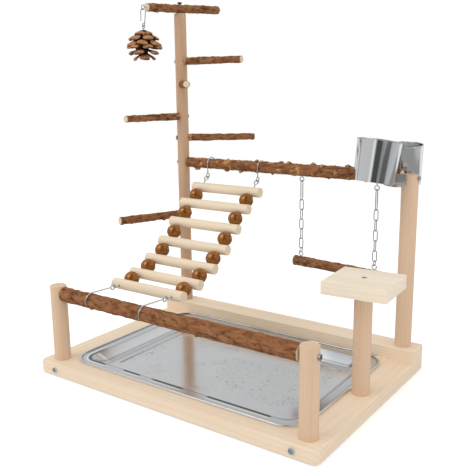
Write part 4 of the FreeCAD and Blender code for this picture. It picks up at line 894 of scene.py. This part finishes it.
class STAND_OT_cone(bpy.types.Operator):
    """Build the hanging pine cone scale by scale, and finish its wire"""

    bl_idname = "stand.cone"
    bl_label = "Hanging cone"

    def execute(self, context):
        look = context.scene.stand_look
        wire = finishes().metal("bright wire", look.wire_colour[:3], 0.2, 0.2)
        for name in ("top_perch_eye", "pinecone_clip", "pinecone_loop"):
            paint(name, wire)
        low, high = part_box("pinecone")
        heart = Vector(((low[0] + high[0]) / 2, (low[1] + high[1]) / 2, high[2]))
        radius = min(high[0] - low[0], high[1] - low[1]) / 2 - 0.0003
        tall = high[2] - low[2]
        pattern, reach = cone_scale(look)
        chance = random.Random(7)
        pieces = []
        for row, (level, out, droop, count) in enumerate(CONE_ROWS):
            for number in range(count):
                turn = math.radians(360.0 * (number + 0.5 * (row % 2)) / count + chance.uniform(-4, 4))
                dip = math.radians(droop + chance.uniform(-4, 4))
                length = radius * out * chance.uniform(0.94, 1.0) / math.cos(math.radians(droop))
                wide = (0.72 + 0.28 * out) * chance.uniform(0.92, 1.08)
                place = (Matrix.Translation(heart - Vector((0, 0, tall * level)))
                         @ Matrix.Rotation(turn, 4, "Z") @ Matrix.Rotation(dip, 4, "Y")
                         @ Matrix.Rotation(math.radians(chance.uniform(-9, 9)), 4, "X")
                         @ Matrix.Diagonal((length / reach, wide, wide * chance.uniform(0.9, 1.15), 1.0)))
                mesh = pattern.data.copy()
                mesh.transform(place)
                pieces.append(bpy.data.objects.new("scale", mesh))
                bpy.context.scene.collection.objects.link(pieces[-1])
        # the spindle that carries the scales
        spindle = drawn_out("spindle", [((share * tall, 0.0, 0.0), wide * radius, wide * radius)
                                        for share, wide in SPINDLE])
        spindle.data.transform(Matrix.Translation(heart) @ Matrix.Rotation(math.radians(90), 4, "Y"))
        apply_modifier(spindle, "SUBSURF", levels=1, render_levels=1)
        for name in ("tip", "under"):
            set_attribute(spindle, name, [0.0] * len(spindle.data.vertices))
        bpy.data.objects.remove(pattern)
        make_active(spindle)
        for piece in pieces:
            piece.select_set(True)
        bpy.ops.object.join()
        shade_smooth(spindle, 50)
        dress(spindle, "pinecone_scales", finishes().cone_wood(), "cone", "cone", "pinecone")
        return {"FINISHED"}


class STAND_OT_steelware(bpy.types.Operator):
    """Finish the tray, the two cups, their hooks and holders"""

    bl_idname = "stand.steelware"
    bl_label = "Tray and cups"

    def execute(self, context):
        look = context.scene.stand_look
        done = finishes()
        steel = look.steel_colour[:3]
        paint("tray", done.metal("tray steel", dimmed(steel, 1.16), 0.17, 0.12, 0.5, drops=True))
        cup = done.metal("cup steel", dimmed(steel, 1.22), 0.11, 0.12, 0.25)
        for name in ("cup_front", "cup_back"):
            paint(name, cup)
        holder = done.metal("holder steel", steel, 0.28, 0.3)
        for name in ("cup_holder_front", "cup_holder_back", "cup_hook_front", "cup_hook_back"):
            paint(name, holder)
        return {"FINISHED"}


class STAND_OT_fasteners(bpy.types.Operator):
    """Finish the screws, the bolt and its nut"""

    bl_idname = "stand.fasteners"
    bl_label = "Fasteners"

    def execute(self, context):
        zinc = finishes().metal("screw zinc", (0.50, 0.53, 0.56), 0.30, 0.4)
        for name in ("floor_screws", "platform_screw", "mast_screws", "post_screws", "cup_bolt", "cup_nut"):
            paint(name, zinc)
        paint("top_perch_screw", finishes().metal("browned steel", (0.16, 0.09, 0.055), 0.5, 0.2))
        paint("rail_screws", finishes().metal("blue zinc", (0.72, 0.84, 0.95), 0.34, 0.2))
        return {"FINISHED"}


# ---------------------------------------------------------------- stage

# what metal sees round the stand: bearing in degrees from +X towards +Y, and grey level
SCREENS = ((-180, 0.90), (-172, 0.25), (-166, 0.62), (-100, 0.58), (-90, 0.95), (-84, 0.60), (-79, 0.07),
           (-53, 0.07), (-50, 0.30), (-38, 0.26), (-34, 0.10), (-10, 0.12), (0, 0.50), (48, 0.62), (60, 0.96),
           (90, 0.80), (120, 0.62), (150, 0.75))


def stage_floor(size):
    """The pale floor: white to the camera, plain and shadowed to everything else."""
    clear_selection()
    bpy.ops.mesh.primitive_plane_add(size=size, location=(0.0, 0.0, 0.0))
    floor = bpy.context.active_object
    floor.name = "floor"
    material, tree, shader = new_material("pale floor")
    shader.inputs["Roughness"].default_value = 0.9
    shader.inputs["Specular IOR Level"].default_value = 0.0
    path = node(tree, "ShaderNodeLightPath").outputs
    feed(tree, blend_colour(tree, path["Is Glossy Ray"], (0.93, 0.93, 0.93), (0.34, 0.34, 0.34)),
         shader.inputs["Base Color"])
    feed(tree, times(tree, path["Is Camera Ray"], 0.32), shader.inputs["Emission Strength"])
    shader.inputs["Emission Color"].default_value = (1.0, 1.0, 1.0, 1.0)
    floor.data.materials.append(material)


def studio_world(level):
    """Even light all round. The camera sees white, and metal sees a studio with darker screens."""
    world = bpy.data.worlds.new("studio")
    bpy.context.scene.world = world
    world.use_nodes = True
    tree = world.node_tree
    tree.nodes.clear()
    path = node(tree, "ShaderNodeLightPath").outputs
    way = node(tree, "ShaderNodeTexCoord").outputs["Generated"]
    parts = split(tree, way)
    angle = calc(tree, "ARCTAN2", parts[1], parts[0])
    round_share = calc(tree, "ADD", calc(tree, "DIVIDE", angle, 2 * math.pi), 0.5)
    screens = ramp(tree, round_share, [(0.5 + turn / 360.0, (grey, grey, grey)) for turn, grey in SCREENS])
    light = node(tree, "ShaderNodeBackground", {"Color": (1.0, 0.99, 0.98), "Strength": level}).outputs[0]
    white = node(tree, "ShaderNodeBackground", {"Color": (1.0, 1.0, 1.0), "Strength": 1.0}).outputs[0]
    studio = node(tree, "ShaderNodeBackground", {"Color": screens, "Strength": 1.0}).outputs[0]
    first = node(tree, "ShaderNodeMixShader", {0: path["Is Glossy Ray"], 1: light, 2: studio}).outputs[0]
    second = node(tree, "ShaderNodeMixShader", {0: path["Is Camera Ray"], 1: first, 2: white}).outputs[0]
    node(tree, "ShaderNodeOutputWorld", {0: second})


def soft_lamp(name, place, aim, power, size):
    light = bpy.data.lights.new(name, "AREA")
    light.energy = power
    light.size = size
    lamp = bpy.data.objects.new(name, light)
    lamp.location = place
    lamp.rotation_euler = (Vector(aim) - Vector(place)).to_track_quat("-Z", "Y").to_euler()
    bpy.context.scene.collection.objects.link(lamp)


def photo_camera(lens):
    forward = Vector((-math.sin(CAMERA_AZIMUTH) * math.cos(CAMERA_PITCH),
                      math.cos(CAMERA_AZIMUTH) * math.cos(CAMERA_PITCH), -math.sin(CAMERA_PITCH)))
    level = Vector((math.cos(CAMERA_AZIMUTH), math.sin(CAMERA_AZIMUTH), 0.0))
    upward = level.cross(forward)
    right = level * math.cos(CAMERA_ROLL) + upward * math.sin(CAMERA_ROLL)
    top = upward * math.cos(CAMERA_ROLL) - level * math.sin(CAMERA_ROLL)
    camera = bpy.data.objects.new("camera", bpy.data.cameras.new("camera"))
    turn = Matrix((right, top, -forward)).transposed().to_4x4()
    camera.matrix_world = Matrix.Translation(CAMERA_PLACE) @ turn
    camera.data.lens = lens
    camera.data.sensor_width = 36.0
    camera.data.clip_start = 0.01
    bpy.context.scene.collection.objects.link(camera)
    bpy.context.scene.camera = camera


class STAND_OT_stage(bpy.types.Operator):
    """Set the pale floor, the soft lamps, the world and the camera"""

    bl_idname = "stand.stage"
    bl_label = "Stage"

    def execute(self, context):
        studio = context.scene.stand_studio
        context.scene.view_settings.view_transform = "Standard"
        stage_floor(studio.floor_size)
        studio_world(studio.sky_level)
        soft_lamp("key", (-0.9, -1.3, 1.7), (0.0, 0.0, 0.25), studio.key_power, 1.4)
        soft_lamp("fill", (1.7, -0.4, 1.1), (0.0, 0.0, 0.25), studio.fill_power, 1.6)
        photo_camera(studio.lens)
        return {"FINISHED"}


class STAND_PT_panel(bpy.types.Panel):
    """The play stand's finishes and steps"""

    bl_label = "Play Stand"
    bl_idname = "STAND_PT_panel"
    bl_space_type = "VIEW_3D"
    bl_region_type = "UI"
    bl_category = "Play Stand"

    def draw(self, context):
        layout = self.layout
        for settings in (context.scene.stand_look, context.scene.stand_studio):
            box = layout.box()
            for name in settings.__annotations__:
                box.prop(settings, name)
        for step in STEPS:
            layout.operator(step.bl_idname)


STEPS = (STAND_OT_boards, STAND_OT_posts, STAND_OT_perches, STAND_OT_ladder, STAND_OT_swing, STAND_OT_cone,
         STAND_OT_steelware, STAND_OT_fasteners, STAND_OT_stage)
CLASSES = (StandLook, StandStudio, *STEPS, STAND_PT_panel)


def register():
    for each in CLASSES:
        bpy.utils.register_class(each)
    bpy.types.Scene.stand_look = PointerProperty(type=StandLook)
    bpy.types.Scene.stand_studio = PointerProperty(type=StandStudio)


def unregister():
    del bpy.types.Scene.stand_studio
    del bpy.types.Scene.stand_look
    for each in reversed(CLASSES):
        bpy.utils.unregister_class(each)


def main():
    register()
    for step in STEPS:
        area, name = step.bl_idname.split(".")
        getattr(getattr(bpy.ops, area), name)()


if __name__ == "__main__":
    main()
